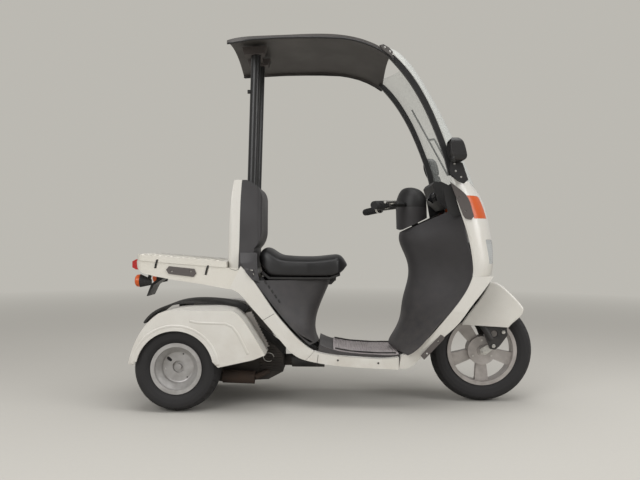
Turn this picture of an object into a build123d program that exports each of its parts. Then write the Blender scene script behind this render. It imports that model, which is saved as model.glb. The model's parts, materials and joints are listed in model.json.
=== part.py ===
"""A three-wheel delivery scooter with a roof: one front wheel, two small rear wheels, a flat load deck behind the seat.

The frame: +X forward, +Y to the rider's left, +Z up, origin on the ground under the middle of the overall length.
Outlines are given in side view as (x, z) in millimetres. The right-hand side is at negative Y.
"""
from build123d import *
import math
import os

# Overall layout
OVERALL_LENGTH = 1895.0
WHEELBASE = 1395.0
FRONT_TYRE_R = 242.0
FRONT_TYRE_WIDTH = 92.0
REAR_TYRE_R = 191.0
REAR_TYRE_WIDTH = 130.0
REAR_WHEEL_Y = 232.0
FRONT_AXLE_X = OVERALL_LENGTH / 2 - FRONT_TYRE_R
REAR_AXLE_X = FRONT_AXLE_X - WHEELBASE

# Clearances
SEAM = 0.3            # between panels that meet
RUNNING = 0.05        # radial, shaft in its bore

# Steering
RAKE = 25.0
STEER_TOP = (358.0, 905.0)
STEM_R = 17.0
RAIL_R = 14.0
RAIL_Y = 90.0
RAIL_Z = 201.5
COWL_STAY = (626.0, 735.0)
HEAD_TUBE_R = 25.0
HEAD_TUBE_LOW = 372.0     # distances down the steering axis from STEER_TOP
HEAD_TUBE_HIGH = 110.0
CROWN_AT = 400.0

# Widths (half widths, about the middle plane)
ROOF_HALF = 310.0
PILLAR_FRONT_Y = 250.0
PILLAR_REAR_Y = 100.0
FLOOR_HALF = 185.7
DECK_HALF = 205.0
BACKREST_HALF = 165.0
COLUMN_CORNER = 22.0
COLUMN_REAR_X = -484.0
COLUMN_FRONT_X = -331.0
SEAT_HALF = 150.0
FENDER_HALF = 312.0
MIRROR_MOUNT_Y = 300.0
MIRROR_INNER_Y = 288.0
MIRROR_OUTER_Y = 392.0
MIRROR_CORNER = 24.0
MIRROR_RIM = 8.0
REAR_LAMP = (-908.0, -150.0, 568.0)
WING_EDGE_Y = 268.0
WING_INNER_Y = 222.0
SKIRT_OUTER_Y = 226.0
SKIRT_INNER_Y = 186.0
REAR_PANEL_OUTER_Y = 222.0
REAR_PANEL_INNER_Y = 199.0
FENDER_INNER = 152.0

steer_dir = Vector(math.sin(math.radians(RAKE)), 0, -math.cos(math.radians(RAKE)))


def on_steer_axis(distance):
    """The point this far down the steering axis from its top."""
    return Vector(STEER_TOP[0], 0, STEER_TOP[1]) + steer_dir * distance


def loop(*runs, y=0.0):
    """A closed side-view face at y. Each run is a list of (x, z): two points make a line, more a spline."""
    edges = []
    for run in runs:
        points = [(x, y, z) for x, z in run]
        edges.append(Line(*points) if len(points) == 2 else Spline(*points))
    return make_face(edges)


def corners(points, y=0.0):
    """A closed side-view polygon at y."""
    return make_face(Polyline(*[(x, y, z) for x, z in points], close=True))


def across(face, y0, y1):
    """The face, drawn at y 0, carried from y0 to y1."""
    return extrude(Pos(0, y0, 0) * face, y1 - y0, dir=(0, 1, 0))


def both_sides(part):
    """The part and its mirror image about the middle plane, as separate solids."""
    return Compound(children=[*part.solids(), *mirror(part, Plane.XZ).solids()])


def left_of(part):
    return mirror(part, Plane.XZ)


def rod(a, b, r):
    """A round bar from a to b."""
    a, b = Vector(*a), Vector(*b)
    return extrude(Plane(origin=a, z_dir=b - a) * Circle(r), (b - a).length)


def wheel_axis(x, z):
    return Axis((x, 0, z), (0, 1, 0))


def turned(profile, x, z, centre_y=0.0):
    """Revolves a closed profile of (y, r) points about the cross axis through (x, z)."""
    face = make_face(Polyline(*[(x, centre_y + y, z + r) for y, r in profile], close=True))
    return revolve(face, wheel_axis(x, z), 360)


# Wheels

FRONT_RIM_R = 164.0
FRONT_RIM_HALF = 37.0
FRONT_HUB_R = 67.0
FRONT_AXLE_R = 8.0
REAR_RIM_R = 112.5
REAR_RIM_HALF = 53.0
REAR_SHAFT_R = 12.0
REAR_SHAFT_LENGTH = 140.0
DISC_HOLES = [(141, 47.0, 7.0), (141, 54.0, 8.0), (141, 60.0, 7.0), (70, 60.0, 3.5), (190, 60.0, 3.5),
              (310, 60.0, 3.5)]      # angle, distance from the middle, radius
FLANGE = 5.0
BEAD_DEPTH = 13.0


def tyre(x, z, radius, width, rim_r, rim_half, centre_y):
    """A solid tyre seated between the rim's flanges."""
    seat = rim_r - BEAD_DEPTH
    inner = rim_half - FLANGE
    half = width / 2
    wall = radius - rim_r
    side = [(inner, seat), (inner, rim_r + 1), (half - 4, rim_r + 0.25 * wall), (half, rim_r + 0.5 * wall),
            (half - 3, rim_r + 0.72 * wall), (0.62 * half, radius - 0.045 * radius), (0.3 * half, radius - 0.01 * radius)]
    top = Spline(*[(x, centre_y + y, z + r) for y, r in side[1:]],
                 (x, centre_y, z + radius),
                 *[(x, centre_y - y, z + r) for y, r in reversed(side[1:])])
    face = make_face([
        top,
        Line((x, centre_y - inner, z + rim_r + 1), (x, centre_y - inner, z + seat)),
        Line((x, centre_y - inner, z + seat), (x, centre_y + inner, z + seat)),
        Line((x, centre_y + inner, z + seat), (x, centre_y + inner, z + rim_r + 1)),
    ])
    return revolve(face, wheel_axis(x, z), 360)


def rim_ring(x, z, rim_r, rim_half, centre_y):
    """The rim's barrel and its two flanges."""
    seat = rim_r - BEAD_DEPTH
    h = rim_half
    return turned([(-h, rim_r), (-h + FLANGE, rim_r), (-h + FLANGE, seat), (h - FLANGE, seat), (h - FLANGE, rim_r),
                   (h, rim_r), (h, seat - 4), (h - 8, seat - 6), (-h + 8, seat - 6), (-h, seat - 4)], x, z, centre_y)


def front_wheel():
    x, z = FRONT_AXLE_X, FRONT_TYRE_R
    seat = FRONT_RIM_R - BEAD_DEPTH
    ring = rim_ring(x, z, FRONT_RIM_R, FRONT_RIM_HALF, 0)
    bore = FRONT_AXLE_R + RUNNING
    hub = turned([(-40, bore), (-40, 22), (-34, 24), (-34, FRONT_HUB_R), (30, FRONT_HUB_R), (34, 60), (34, 24),
                  (40, 22), (40, bore)], x, z)
    spoke_face = corners([(x + 60, z - 24), (x + seat - 3, z - 32), (x + seat - 3, z + 32), (x + 60, z + 24)])
    spoke = across(spoke_face, -16, 14)
    spokes = [spoke.rotate(wheel_axis(x, z), 17 + 72 * k) for k in range(5)]
    rim = ring + hub
    for s in spokes:
        rim = rim + s
    rim = rim - rod((x, -60, z), (x, 60, z), bore)
    return rim, tyre(x, z, FRONT_TYRE_R, FRONT_TYRE_WIDTH, FRONT_RIM_R, FRONT_RIM_HALF, 0)


def rear_wheel_right():
    """The right rear wheel: a deep pressed-steel disc set well inside the rim, on a short drive shaft."""
    x, z, y = REAR_AXLE_X, REAR_TYRE_R, -REAR_WHEEL_Y
    ring = rim_ring(x, z, REAR_RIM_R, REAR_RIM_HALF, y)
    wall = REAR_RIM_R - BEAD_DEPTH - 5
    disc = turned([(10, 0), (10, 25), (0, 27), (0, 64), (-2, 69), (-16, 73), (-40, wall - 3), (-46, wall), (-34, wall),
                   (-12, 79), (3, 73), (5, 68), (5, 31), (14, 29), (14, 0)], x, z, y)
    for angle, distance, radius in DISC_HOLES:
        turn = math.radians(angle)
        hx, hz = x + distance * math.cos(turn), z + distance * math.sin(turn)
        disc = disc - rod((hx, y - 60, hz), (hx, y + 60, hz), radius)
    nut = rod((x, y + 12, z), (x, y - 4, z), 13)
    shaft = rod((x, y + 12, z), (x, y + REAR_SHAFT_LENGTH, z), REAR_SHAFT_R)
    flange = rod((x, y + 13, z), (x, y + 24, z), 30)
    rim = ring + disc + nut + shaft + flange
    return rim, tyre(x, z, REAR_TYRE_R, REAR_TYRE_WIDTH, REAR_RIM_R, REAR_RIM_HALF, y)


# Plan-view sections, for the moulded panels

def plan_band(z, outer, inner):
    """A closed face at height z between two mirrored curves, each given as (x, y) with y from the edge to 0."""
    def curve(half):
        return [(x, -y, z) for x, y in half] + [(x, y, z) for x, y in reversed(half[:-1])]
    a, b = curve(outer), curve(inner)
    return make_face([Spline(*a), Line(a[-1], b[-1]), Spline(*b), Line(b[0], a[0])])


def cross_band(x, top, wall, lip):
    """A closed face at x: an arched sheet with a turned-down lip. top is (half width, edge z, crown z)."""
    half, z_edge, z_crown = top
    outer = ThreePointArc((x, -half, z_edge), (x, 0, z_crown), (x, half, z_edge))
    inner = ThreePointArc((x, -half + wall, z_edge - wall), (x, 0, z_crown - wall), (x, half - wall, z_edge - wall))
    return make_face([
        outer,
        Line((x, half, z_edge), (x, half, z_edge - lip)),
        Line((x, half, z_edge - lip), (x, half - wall, z_edge - lip)),
        Line((x, half - wall, z_edge - lip), (x, half - wall, z_edge - wall)),
        inner,
        Line((x, -half + wall, z_edge - wall), (x, -half + wall, z_edge - lip)),
        Line((x, -half + wall, z_edge - lip), (x, -half, z_edge - lip)),
        Line((x, -half, z_edge - lip), (x, -half, z_edge)),
    ])


# Roof, screen and pillars

PILLAR_WIDTH = 21.0
PILLAR_FOOT_Z = 1047.5
REAR_PILLAR_R = 22.0
REAR_PILLAR_FOOT = (-390.0, 700.0)
REAR_PILLAR_HEAD = (-369.0, 1628.0)
KNOB_AT = 750.0
KNOB_R = 9.0
KNOB_OUT = 12.0
ROOF_WALL = 6.0
ROOF_LIP = 16.0
ROOF_STATIONS = [(-476, 290, 1630, 1664), (-370, 308, 1643, 1682), (-155, ROOF_HALF, 1652, 1688),
                 (30, ROOF_HALF, 1649, 1686), (130, 306, 1628, 1672), (216, 300, 1588, 1642), (252, 292, 1562, 1620)]
SCREEN_WALL = 3.0
SCREEN_STATIONS = [(1604, 272, 241.5, 338), (1582, 272, 257.5, 362), (1481, 272, 345.5, 429), (1377, 272, 408.5, 488),
                   (1260, 272, 462.5, 549), (1144, 270, 505.5, 608), (1062, 268, 528, 645), (1000, 262, 548, 670)]


def roof():
    return loft([cross_band(x, (half, edge, crown), ROOF_WALL, ROOF_LIP) for x, half, edge, crown in ROOF_STATIONS])


def windscreen():
    sections = []
    for z, half, x_edge, x_mid in SCREEN_STATIONS:
        a = ThreePointArc((x_edge, -half, z), (x_mid, 0, z), (x_edge, half, z))
        t = SCREEN_WALL
        b = ThreePointArc((x_edge - t, -half, z), (x_mid - t, 0, z), (x_edge - t, half, z))
        sections.append(make_face([a, Line(a @ 1, b @ 1), b, Line(b @ 0, a @ 0)]))
    (x0, z0), (x1, z1) = COWL_TOP_LINE
    below = across(corners([(x0, z0 + SEAM), (x1, z1 + SEAM), (x1, 900), (x0, 900)]), -300, 300)
    return loft(sections) - below


def pillar_band(y0, y1):
    """One front pillar as a band in side view, between y0 and y1."""
    outer = [(255, 1575), (298, 1533), (336, 1486), (375, 1427), (410, 1364), (459, 1254), (501, 1140), (525, PILLAR_FOOT_Z)]
    inner = [(500, PILLAR_FOOT_Z), (478, 1132), (436, 1246), (386, 1356), (351, 1418), (312, 1476), (274, 1523), (228, 1572)]
    return across(loop(outer, (outer[-1], inner[0]), inner, (inner[-1], outer[0])), y0, y1)


def front_pillars():
    """Black pillars just inside the edge of the screen, running down into the cowl."""
    y1 = PILLAR_FRONT_Y + PILLAR_WIDTH
    return both_sides(pillar_band(PILLAR_FRONT_Y, y1))


def rear_pillars():
    """Two straight tubes from the frame under the backrest up to the roof, each with a clamp knob."""
    foot = (REAR_PILLAR_FOOT[0], PILLAR_REAR_Y, REAR_PILLAR_FOOT[1])
    head = (REAR_PILLAR_HEAD[0], PILLAR_REAR_Y, REAR_PILLAR_HEAD[1])
    a, b = Vector(*foot), Vector(*head)
    up = (b - a).normalized()
    post = rod(foot, head, REAR_PILLAR_R)
    at = a + up * KNOB_AT
    knob = rod(at, at + Vector(-REAR_PILLAR_R - KNOB_OUT, 0, 0), KNOB_R)
    return both_sides(post + knob)


# Front bodywork

COWL_FOOT = 604.0
COWL_STATIONS = [
    # height, then the outer curve from the side edge to the nose as (x, y)
    (1046, [(519, 262), (566, 226), (606, 150), (634, 72), (644, 0)]),
    (1012, [(530, 266), (584, 240), (624, 166), (650, 82), (660, 0)]),
    (960, [(540, 269), (602, 248), (654, 176), (684, 90), (696, 0)]),
    (890, [(560, 270), (626, 250), (678, 186), (708, 96), (718, 0)]),
    (800, [(590, 270), (646, 252), (694, 196), (724, 104), (734, 0)]),
    (700, [(612, 270), (662, 254), (706, 204), (734, 108), (744, 0)]),
    (COWL_FOOT, [(618, 268), (662, 250), (698, 204), (728, 108), (740, 0)]),
]
COWL_TOP_LINE = ((500.0, 1047.0), (680.0, 1006.0))
COWL_WALL = 4.0
LAMP_BAND = (654.0, 767.0)
LAMP_INNER_Y = 62.0
SHIELD_EDGE = [(300, 247), (364, 279), (459, 377), (536, 473), (587, 551), (607, 609), (602, 667), (586, 769),
               (559, 846), (534, 910), (508, 985), (498, 1030)]


def cowl_shell():
    """The whole front shell, before the lamps and indicators are parted from it."""
    sections = []
    for z, outer in COWL_STATIONS:
        inner = [(x - COWL_WALL * (1.0 + 1.2 * y / 270), y - COWL_WALL * y / 270) for x, y in outer]
        sections.append(plan_band(z, outer, inner))
    (x0, z0), (x1, z1) = COWL_TOP_LINE
    above = across(corners([(x0, z0), (x1, z1), (x1, 1100), (x0, 1100)]), -300, 300)
    return loft(sections) - above


def lamp_space(grow=0.0):
    """The space a headlamp fills, on both sides, grown all round by a gap."""
    z0, z1 = LAMP_BAND
    g = grow
    right = across(corners([(600, z0 - g), (760, z0 + 8 - g), (760, z1 - 2 + g), (600, z1 + g)]), -236 - g, -LAMP_INNER_Y + g)
    return both_sides(right)


def indicator_space(grow=0.0):
    g = grow
    right = across(corners([(590 - g, 858 - g), (760, 862 - g), (760, 905 + g), (640, 960 + g), (575 - g, 960 + g)]),
                   -262 - g, -190 + g)
    return both_sides(right)


def front_cowl(shell):
    return shell - lamp_space(SEAM) - indicator_space(SEAM)


def headlamp_lenses(shell):
    return Compound(children=(shell & lamp_space()).solids())


def headlamp_shells(shell):
    """The bowls behind the lenses, their mouths following the inside of the cowl."""
    z0, z1 = LAMP_BAND
    bowl = across(corners([(652, z0 + 14), (640, z0 + 40), (640, z1 - 34), (654, z1 - 12), (760, z1 - 8), (760, z0 + 10)]),
                  -222, -LAMP_INNER_Y - 8)
    inside = (bowl - shell).solids().sort_by(Axis.X)[0]
    return both_sides(inside)


def indicator_lenses(shell):
    return Compound(children=(shell & indicator_space()).solids())


def front_view(points, x0, x1):
    """A prism along X from a front-view polygon of (y, z), for trimming side-view panels."""
    return extrude(make_face(Polyline(*[(x0, y, z) for y, z in points], close=True)), x1 - x0, dir=(1, 0, 0))


def rounded_block(x0, x1, half, radius, z0, z1):
    """A block with rounded vertical corners, for rounding off a panel in plan."""
    sheet = RectangleRounded(x1 - x0, 2 * half, radius)
    return extrude(Pos((x0 + x1) / 2, 0, z0) * sheet, z1 - z0)


def outer_edges(part, half, low=-9999.0):
    """The long edges of a side-view panel that lie on its two side faces, above a height."""
    return [e for e in part.edges() if abs(abs(e.center().Y) - half) < 0.01 and e.length > 20 and e.center().Z > low]


def plan_view(points, z0, z1):
    """A prism along Z from a plan polygon of (x, y)."""
    return extrude(make_face(Polyline(*[(x, y, z0) for x, y in points], close=True)), z1 - z0, dir=(0, 0, 1))


def leg_shield_wings():
    """White wings either side of the front wheel, from the cowl down to the floor."""
    inner = [p for p in SHIELD_EDGE if p[1] < COWL_FOOT - 10] + [(608, COWL_FOOT - SEAM)]
    outer = [(698, COWL_FOOT - SEAM), (680, 575), (640, 520), (596, 463), (551, 398), (486, 334), (428, 280),
             (372, 222), (344, 198), (292, 191)]
    band = across(loop(inner, (inner[-1], outer[0]), outer, (outer[-1], inner[0])), -WING_EDGE_Y, -SKIRT_INNER_Y)
    slant = front_view([(-WING_EDGE_Y, COWL_FOOT), (-WING_EDGE_Y, 450), (-SKIRT_OUTER_Y, 180), (-SKIRT_INNER_Y, 180),
                        (-WING_INNER_Y, 380), (-WING_INNER_Y, COWL_FOOT)], 280, 720)
    return both_sides(band & slant)


INNER_STATIONS = [
    # height, then the rider's face from the side edge to the middle as (x, y)
    (256, [(322, 264), (312, 200), (292, 110), (284, 50), (282, 0)]),
    (334, [(412, 264), (380, 200), (330, 110), (302, 50), (297, 0)]),
    (458, [(520, 264), (466, 200), (384, 110), (338, 50), (329, 0)]),
    (562, [(590, 264), (526, 200), (420, 110), (364, 50), (353, 0)]),
    (617, [(604, 264), (540, 200), (430, 110), (370, 50), (360, 0)]),
    (714, [(594, 264), (524, 200), (408, 110), (342, 50), (332, 0)]),
    (800, [(572, 264), (506, 200), (396, 110), (328, 50), (317, 0)]),
    (960, [(516, 264), (492, 200), (452, 110), (428, 50), (424, 0)]),
]
INNER_WALL = 5.0


def inner_shield():
    """The grey panel facing the rider, hollowed forwards round the steering column, with a sloping top."""
    sections = []
    for z, face in INNER_STATIONS:
        sections.append(plan_band(z, face, [(x + INNER_WALL, y - 0.6 * y / 264) for x, y in face]))
    above = across(corners([(280, 783), (570, 916), (660, 916), (660, 990), (280, 990)]), -300, 300)
    return loft(sections) - above


# Floor and side panels

FLOOR_TOP = [(-62, 288), (0, 264), (82, 250), (199, 243), (296, 244), (330, 252)]
FLOOR_BASE = 216.0
FLOOR_WALL = 5.0
MAT_THICK = 4.0


def floor_board():
    """The floor pan under the rider's feet, open below."""
    front, back = FLOOR_TOP[-1], FLOOR_TOP[0]
    face = loop(FLOOR_TOP, (front, (front[0] + 12, FLOOR_BASE)), ((front[0] + 12, FLOOR_BASE), (back[0] - 14, FLOOR_BASE)),
                ((back[0] - 14, FLOOR_BASE), back))
    pan = across(face, -FLOOR_HALF, FLOOR_HALF)
    low = [(x, z - FLOOR_WALL) for x, z in FLOOR_TOP]
    low[0] = (low[0][0] + 4, low[0][1])
    low[-1] = (low[-1][0] - 4, low[-1][1])
    under = loop(low, (low[-1], (low[-1][0], FLOOR_BASE - 1)), ((low[-1][0], FLOOR_BASE - 1), (low[0][0], FLOOR_BASE - 1)),
                 ((low[0][0], FLOOR_BASE - 1), low[0]))
    return pan - across(under, -FLOOR_HALF + FLOOR_WALL, FLOOR_HALF - FLOOR_WALL)


def floor_mat(board):
    """A rubber mat lying on the floor pan."""
    lower = FLOOR_TOP[1:-1]
    upper = [(x, z + MAT_THICK) for x, z in lower]
    lower = [(x, z - FLOOR_WALL / 2) for x, z in lower]
    face = loop(lower, (lower[-1], upper[-1]), upper, (upper[0], lower[0]))
    return across(face, -FLOOR_HALF + 8, FLOOR_HALF - 8) - board


def floor_skirts():
    """White mouldings along both edges of the floor."""
    top = [(-86, 262), (13, 242), (109, 236), (198, 231), (291.7, 238)]
    low = [(291.7, 184), (200, 188), (109, 192), (-28, 204), (-122, 222)]
    face = loop(top, (top[-1], low[0]), low, (low[-1], top[0]))
    return both_sides(across(face, -SKIRT_OUTER_Y, -SKIRT_INNER_Y))


def rear_panels():
    """White panels rising from the floor to the deck on both sides."""
    upper = [(-420, 640), (-363, 575), (-261, 431), (-203, 362), (-140, 299), (-87, 262.5)]
    lower = [(-123, 222), (-171, 242), (-228, 298), (-311, 392), (-394, 482), (-440, 526), (-470, 537)]
    face = loop(upper, (upper[-1], lower[0]), lower, (lower[-1], upper[0]))
    panel = across(face, -REAR_PANEL_OUTER_Y, -REAR_PANEL_INNER_Y)
    plan = plan_view([(-500, -DECK_HALF), (-400, -DECK_HALF - 1), (-290, -REAR_PANEL_OUTER_Y), (0, -REAR_PANEL_OUTER_Y),
                      (0, -REAR_PANEL_INNER_Y), (-500, -REAR_PANEL_INNER_Y)], 200, 660)
    return both_sides(panel & plan)


# Seat box, seat and backrest

SEAT_BOX_WALL = 5.0
SEAT_BOX_TOP = 574.0
SEAT_BOX_STATIONS = [
    (286, [(-108, 198), (-98, 168), (-84, 120), (-72, 60), (-68, 0)]),
    (387, [(-212, 198), (-176, 170), (-116, 122), (-88, 62), (-82, 0)]),
    (495, [(-300, 198), (-262, 172), (-130, 124), (-56, 64), (-46, 0)]),
    (SEAT_BOX_TOP, [(-361, 198), (-326, 174), (-150, 128), (-26, 66), (-13, 0)]),
]
SEAT_HINGE = (2.0, 574.0)
SEAT_PIN_R = 4.0
SEAT_PAN_THICK = 10.0
SEAT_GAP = 4.0


def seat_box():
    """A tapering box under the seat, open at the top."""
    def section(z, half, inset):
        edge = half[0][1]
        pts = [(x - inset * (1 - y / edge), y - inset * y / edge) for x, y in half]
        pts[0] = (half[0][0] + inset / 2, pts[0][1])
        curve = [(x, -y, z) for x, y in pts] + [(x, y, z) for x, y in reversed(pts[:-1])]
        back = (curve[0][0], 0, z)
        return make_face([Spline(*curve), Line(curve[-1], back), Line(back, curve[0])])
    outer = loft([section(z, half, 0) for z, half in SEAT_BOX_STATIONS])
    w = SEAT_BOX_WALL
    lifted = [(z + (w if i == 0 else 0), half) for i, (z, half) in enumerate(SEAT_BOX_STATIONS)]
    inner = loft([section(z, half, w) for z, half in lifted])
    x, z = SEAT_HINGE
    box = outer - inner
    bracket = across(corners([(x - 34, z - 26), (x - 12, z - 26), (x + 7, z - 6), (x + 7, z + 5), (x - 6, z + 5), (x - 20, z - 4)]),
                     -9, 9)
    return box + bracket + rod((x, -26, z), (x, 26, z), SEAT_PIN_R)


def seat_pan():
    """The hard base of the seat, with two lugs on the hinge pin."""
    x, z = SEAT_HINGE
    low = SEAT_BOX_TOP + SEAT_GAP
    face = corners([(-336, low + 30), (-300, low), (-20, low), (30, low + 16), (30, low + 26), (-20, low + SEAT_PAN_THICK),
                    (-296, low + SEAT_PAN_THICK), (-330, low + 40)])
    pan = across(face, -SEAT_HALF + 12, SEAT_HALF - 12) & plan_view(seat_plan(12), 540, 800)
    lug = across(corners([(x - 9, z - 7), (x + 9, z - 7), (x + 12, low + 15), (x - 20, low + 5)]), 10, 24)
    lugs = lug + mirror(lug, Plane.XZ)
    return (pan + lugs) - rod((x, -40, z), (x, 40, z), SEAT_PIN_R + RUNNING)


def seat_plan(inset):
    half = [(-362 + inset, SEAT_HALF - inset), (-120, SEAT_HALF - inset), (20, 118 - inset), (66 - inset, 80 - inset)]
    return [(x, -y) for x, y in half] + [(x, y) for x, y in reversed(half)]


def seat_cushion():
    """The padded seat with its raised back edge."""
    low = SEAT_BOX_TOP + SEAT_GAP + SEAT_PAN_THICK + 0.3
    top = [(-353, 668), (-356, 700), (-345, 722), (-324, 731), (-300, 728), (-277, 709), (-247, 690), (-171, 684),
           (-84, 684), (-8, 693), (24, 697), (46, 685), (64, 652)]
    under = [(64, 652), (68, 632), (32, low + 17), (-20, low), (-296, low), (-329, low + 31), (-353, 668)]
    face = make_face([Spline(*[(x, 0, z) for x, z in top]), Polyline(*[(x, 0, z) for x, z in under])])
    return across(face, -SEAT_HALF, SEAT_HALF) & plan_view(seat_plan(0), 540, 800)


def column_rounding():
    """The column's plan: rounded corners at the rider's side and at the deck."""
    return rounded_block(COLUMN_REAR_X, COLUMN_FRONT_X, BACKREST_HALF, COLUMN_CORNER, 600, 1050)


def backrest():
    """The grey front of the column behind the seat."""
    front = [(-352, 735), (-336, 770), (-331, 867), (-335, 973), (-348, 1000), (-376, 1020), (-400, 1032)]
    back = [(-421, 1032), (-424, 1000), (-431, 800), (-434, 690)]
    face = make_face([Spline(*[(x, 0, z) for x, z in front]), Line((-400, 0, 1032), (-421, 0, 1032)),
                      Spline(*[(x, 0, z) for x, z in back]),
                      Polyline((-434, 0, 690), (-436, 0, 626), (-366, 0, 626), (-366, 0, 718), (-352, 0, 735))])
    return across(face, -BACKREST_HALF, BACKREST_HALF) & column_rounding()


def back_cover():
    """The white rear of the column, meeting the deck."""
    rear = [(-484, 700), (-482, 760), (-477, 860), (-468, 970), (-457, 1032)]
    front = [(-421.3, 1032), (-424.3, 1000), (-431.3, 800), (-434.3, 690)]
    face = make_face([Spline(*[(x, 0, z) for x, z in rear]), Line((-457, 0, 1032), (-421.3, 0, 1032)),
                      Spline(*[(x, 0, z) for x, z in front]),
                      Polyline((-434.3, 0, 690), (-436.3, 0, 626), (-484, 0, 626), (-484, 0, 700))])
    return across(face, -BACKREST_HALF, BACKREST_HALF) & column_rounding()


# Load deck

DECK_TOP = [(-892, 690), (-366, 651)]
DECK_PLATE = 28.0
DECK_STEP = 3.0           # the body's sides stand this far inside the lid's
DECK_CORNER = 28.0
HOOK_SLOTS = [((-796, 667), (-806, 627)), ((-566, 642), (-578, 598))]
HOOK_SLOT_WIDTH = 11.0
HOOK_SLOT_DEPTH = 10.0
PLATE_HOLES = [(-730.0, 614.0), (-645.0, 614.0)]
PLATE_HOLE_R = 4.0
DECK_LOW = [(-360, 600), (-420, 545), (-470, 535), (-604, 559), (-713, 574), (-807, 591), (-863, 605), (-888, 627), (-896, 655)]


def column_space():
    """The room that the backrest column takes out of the deck's lid."""
    x = COLUMN_REAR_X - SEAM
    return across(corners([(x, 500), (-300, 500), (-300, 800), (x, 800)]), -300, 300)


def hook_slots():
    """Pockets for the load hooks, two on each side."""
    cuts = None
    for (x0, z0), (x1, z1) in HOOK_SLOTS:
        w = HOOK_SLOT_WIDTH / 2
        slot = across(corners([(x0 - w, z0), (x0 + w, z0), (x1 + w, z1), (x1 - w, z1)]), -DECK_HALF - 1, -DECK_HALF + HOOK_SLOT_DEPTH)
        cuts = slot if cuts is None else cuts + slot
    return cuts + mirror(cuts, Plane.XZ)


def deck_top():
    low = [(x, z - DECK_PLATE) for x, z in DECK_TOP]
    face = loop(DECK_TOP, (DECK_TOP[-1], low[-1]), low, (low[0], DECK_TOP[0]))
    lid = across(face, -DECK_HALF, DECK_HALF)
    return (lid & rounded_block(DECK_TOP[0][0], 0, DECK_HALF, DECK_CORNER, 500, 800)) - column_space() - hook_slots()


def deck_body():
    """The moulded body of the load deck."""
    seam = [(x, z - DECK_PLATE - SEAM) for x, z in DECK_TOP]
    low = DECK_LOW
    body = across(corners(seam + low), -DECK_HALF + DECK_STEP, DECK_HALF - DECK_STEP)
    return (body & rounded_block(DECK_LOW[-1][0], 0, DECK_HALF - DECK_STEP, DECK_CORNER, 500, 800)) - hook_slots()


# Steering

BAR_R = 11.0
BAR_CENTRE = on_steer_axis(-20)
GRIP_R = 17.0
GRIP_LENGTH = 118.0
GRIP_OUTER_Y = 318.0
FORK_LEG_Y = 72.0
FORK_LEG_R = 15.0
FORK_LEG_TOP = (600.0, 538.0)
FORK_LEG_FOOT = (738.0, 300.0)
LINK_PIVOT = (748.0, 271.0)
DAMPER_BOLT = (794.0, 336.0)
LINK_THICK = 9.0
BRACKET_THICK = 14.0
FRONT_FENDER_HALF = 92.0
FRONT_FENDER_WALL = 4.0
FRONT_FENDER_CORNER = 9.0


def head_tube():
    """The frame's steering head, bored for the stem."""
    a, b = on_steer_axis(HEAD_TUBE_HIGH), on_steer_axis(HEAD_TUBE_LOW)
    return rod(a, b, HEAD_TUBE_R) - rod(a - steer_dir * 5, b + steer_dir * 5, STEM_R + RUNNING)


def yoke_plan(crown_x, leg_x):
    """The yoke's outline in plan: narrow at the stem, so that it clears the frame, and wide over the legs."""
    wide, narrow = FORK_LEG_Y + 16, STEM_R + 10
    side = [(crown_x - 30, narrow), (crown_x + 8, narrow + 8), (leg_x - 20, wide), (leg_x + 24, wide)]
    return plan_view([(x, -y) for x, y in side] + [(x, y) for x, y in reversed(side)], 400, 700)


def fork():
    """Stem, crown, two legs down over the wheel, and a cast bracket with a window at each foot."""
    stem = rod(on_steer_axis(0), on_steer_axis(CROWN_AT + 6), STEM_R)
    crown_at = on_steer_axis(CROWN_AT)
    leg_top = Vector(FORK_LEG_TOP[0], 0, FORK_LEG_TOP[1])
    yoke = across(corners([(crown_at.X - 26, crown_at.Z + 2), (crown_at.X - 16, crown_at.Z - 22), (leg_top.X, leg_top.Z - 18),
                           (leg_top.X + 22, leg_top.Z + 2), (leg_top.X + 12, leg_top.Z + 14), (crown_at.X + 6, crown_at.Z + 18)]),
                  -FORK_LEG_Y - 16, FORK_LEG_Y + 16)
    body = stem + (yoke & yoke_plan(crown_at.X, leg_top.X))
    fx, fz = FORK_LEG_FOOT
    px, pz = LINK_PIVOT
    dx, dz = DAMPER_BOLT
    bracket = across(corners([(fx - 42, fz + 58), (fx - 8, fz + 66), (dx + 16, dz + 22), (dx + 20, dz - 16), (px + 26, pz - 4),
                              (px + 8, pz - 18), (px - 14, pz - 14), (fx - 30, fz + 20)]),
                     -FORK_LEG_Y - BRACKET_THICK / 2, -FORK_LEG_Y + BRACKET_THICK / 2)
    bracket = bracket - rod((px + 4, -200, pz + 56), (px + 4, 0, pz + 56), 16)
    for side in (-1, 1):
        leg = rod((leg_top.X, side * FORK_LEG_Y, leg_top.Z), (fx, side * FORK_LEG_Y, fz), FORK_LEG_R)
        boss_y = side * (FRONT_FENDER_HALF - FRONT_FENDER_WALL)
        boss = rod((670, side * FORK_LEG_Y, 417), (670, boss_y, 417), 7)
        body = body + leg + boss
    return body + bracket + mirror(bracket, Plane.XZ)


def fork_links():
    """Short trailing links from the fork brackets back to the axle, the axle and its nuts."""
    x, z = FRONT_AXLE_X, FRONT_TYRE_R
    px, pz = LINK_PIVOT
    outer = -FORK_LEG_Y + BRACKET_THICK / 2 + SEAM
    link = corners([(x - 16, z + 8), (x - 4, z + 18), (px, pz + 15), (px + 14, pz + 6), (px + 12, pz - 10), (x + 10, z - 16),
                    (x - 12, z - 12)])
    plate = across(link, outer, outer + LINK_THICK)
    axle = rod((x, outer - 16, z), (x, -outer + 16, z), FRONT_AXLE_R)
    nuts = rod((x, outer - 10, z), (x, outer, z), 13) + rod((x, -outer, z), (x, -outer + 10, z), 13)
    return plate + mirror(plate, Plane.XZ) + axle + nuts


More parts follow.
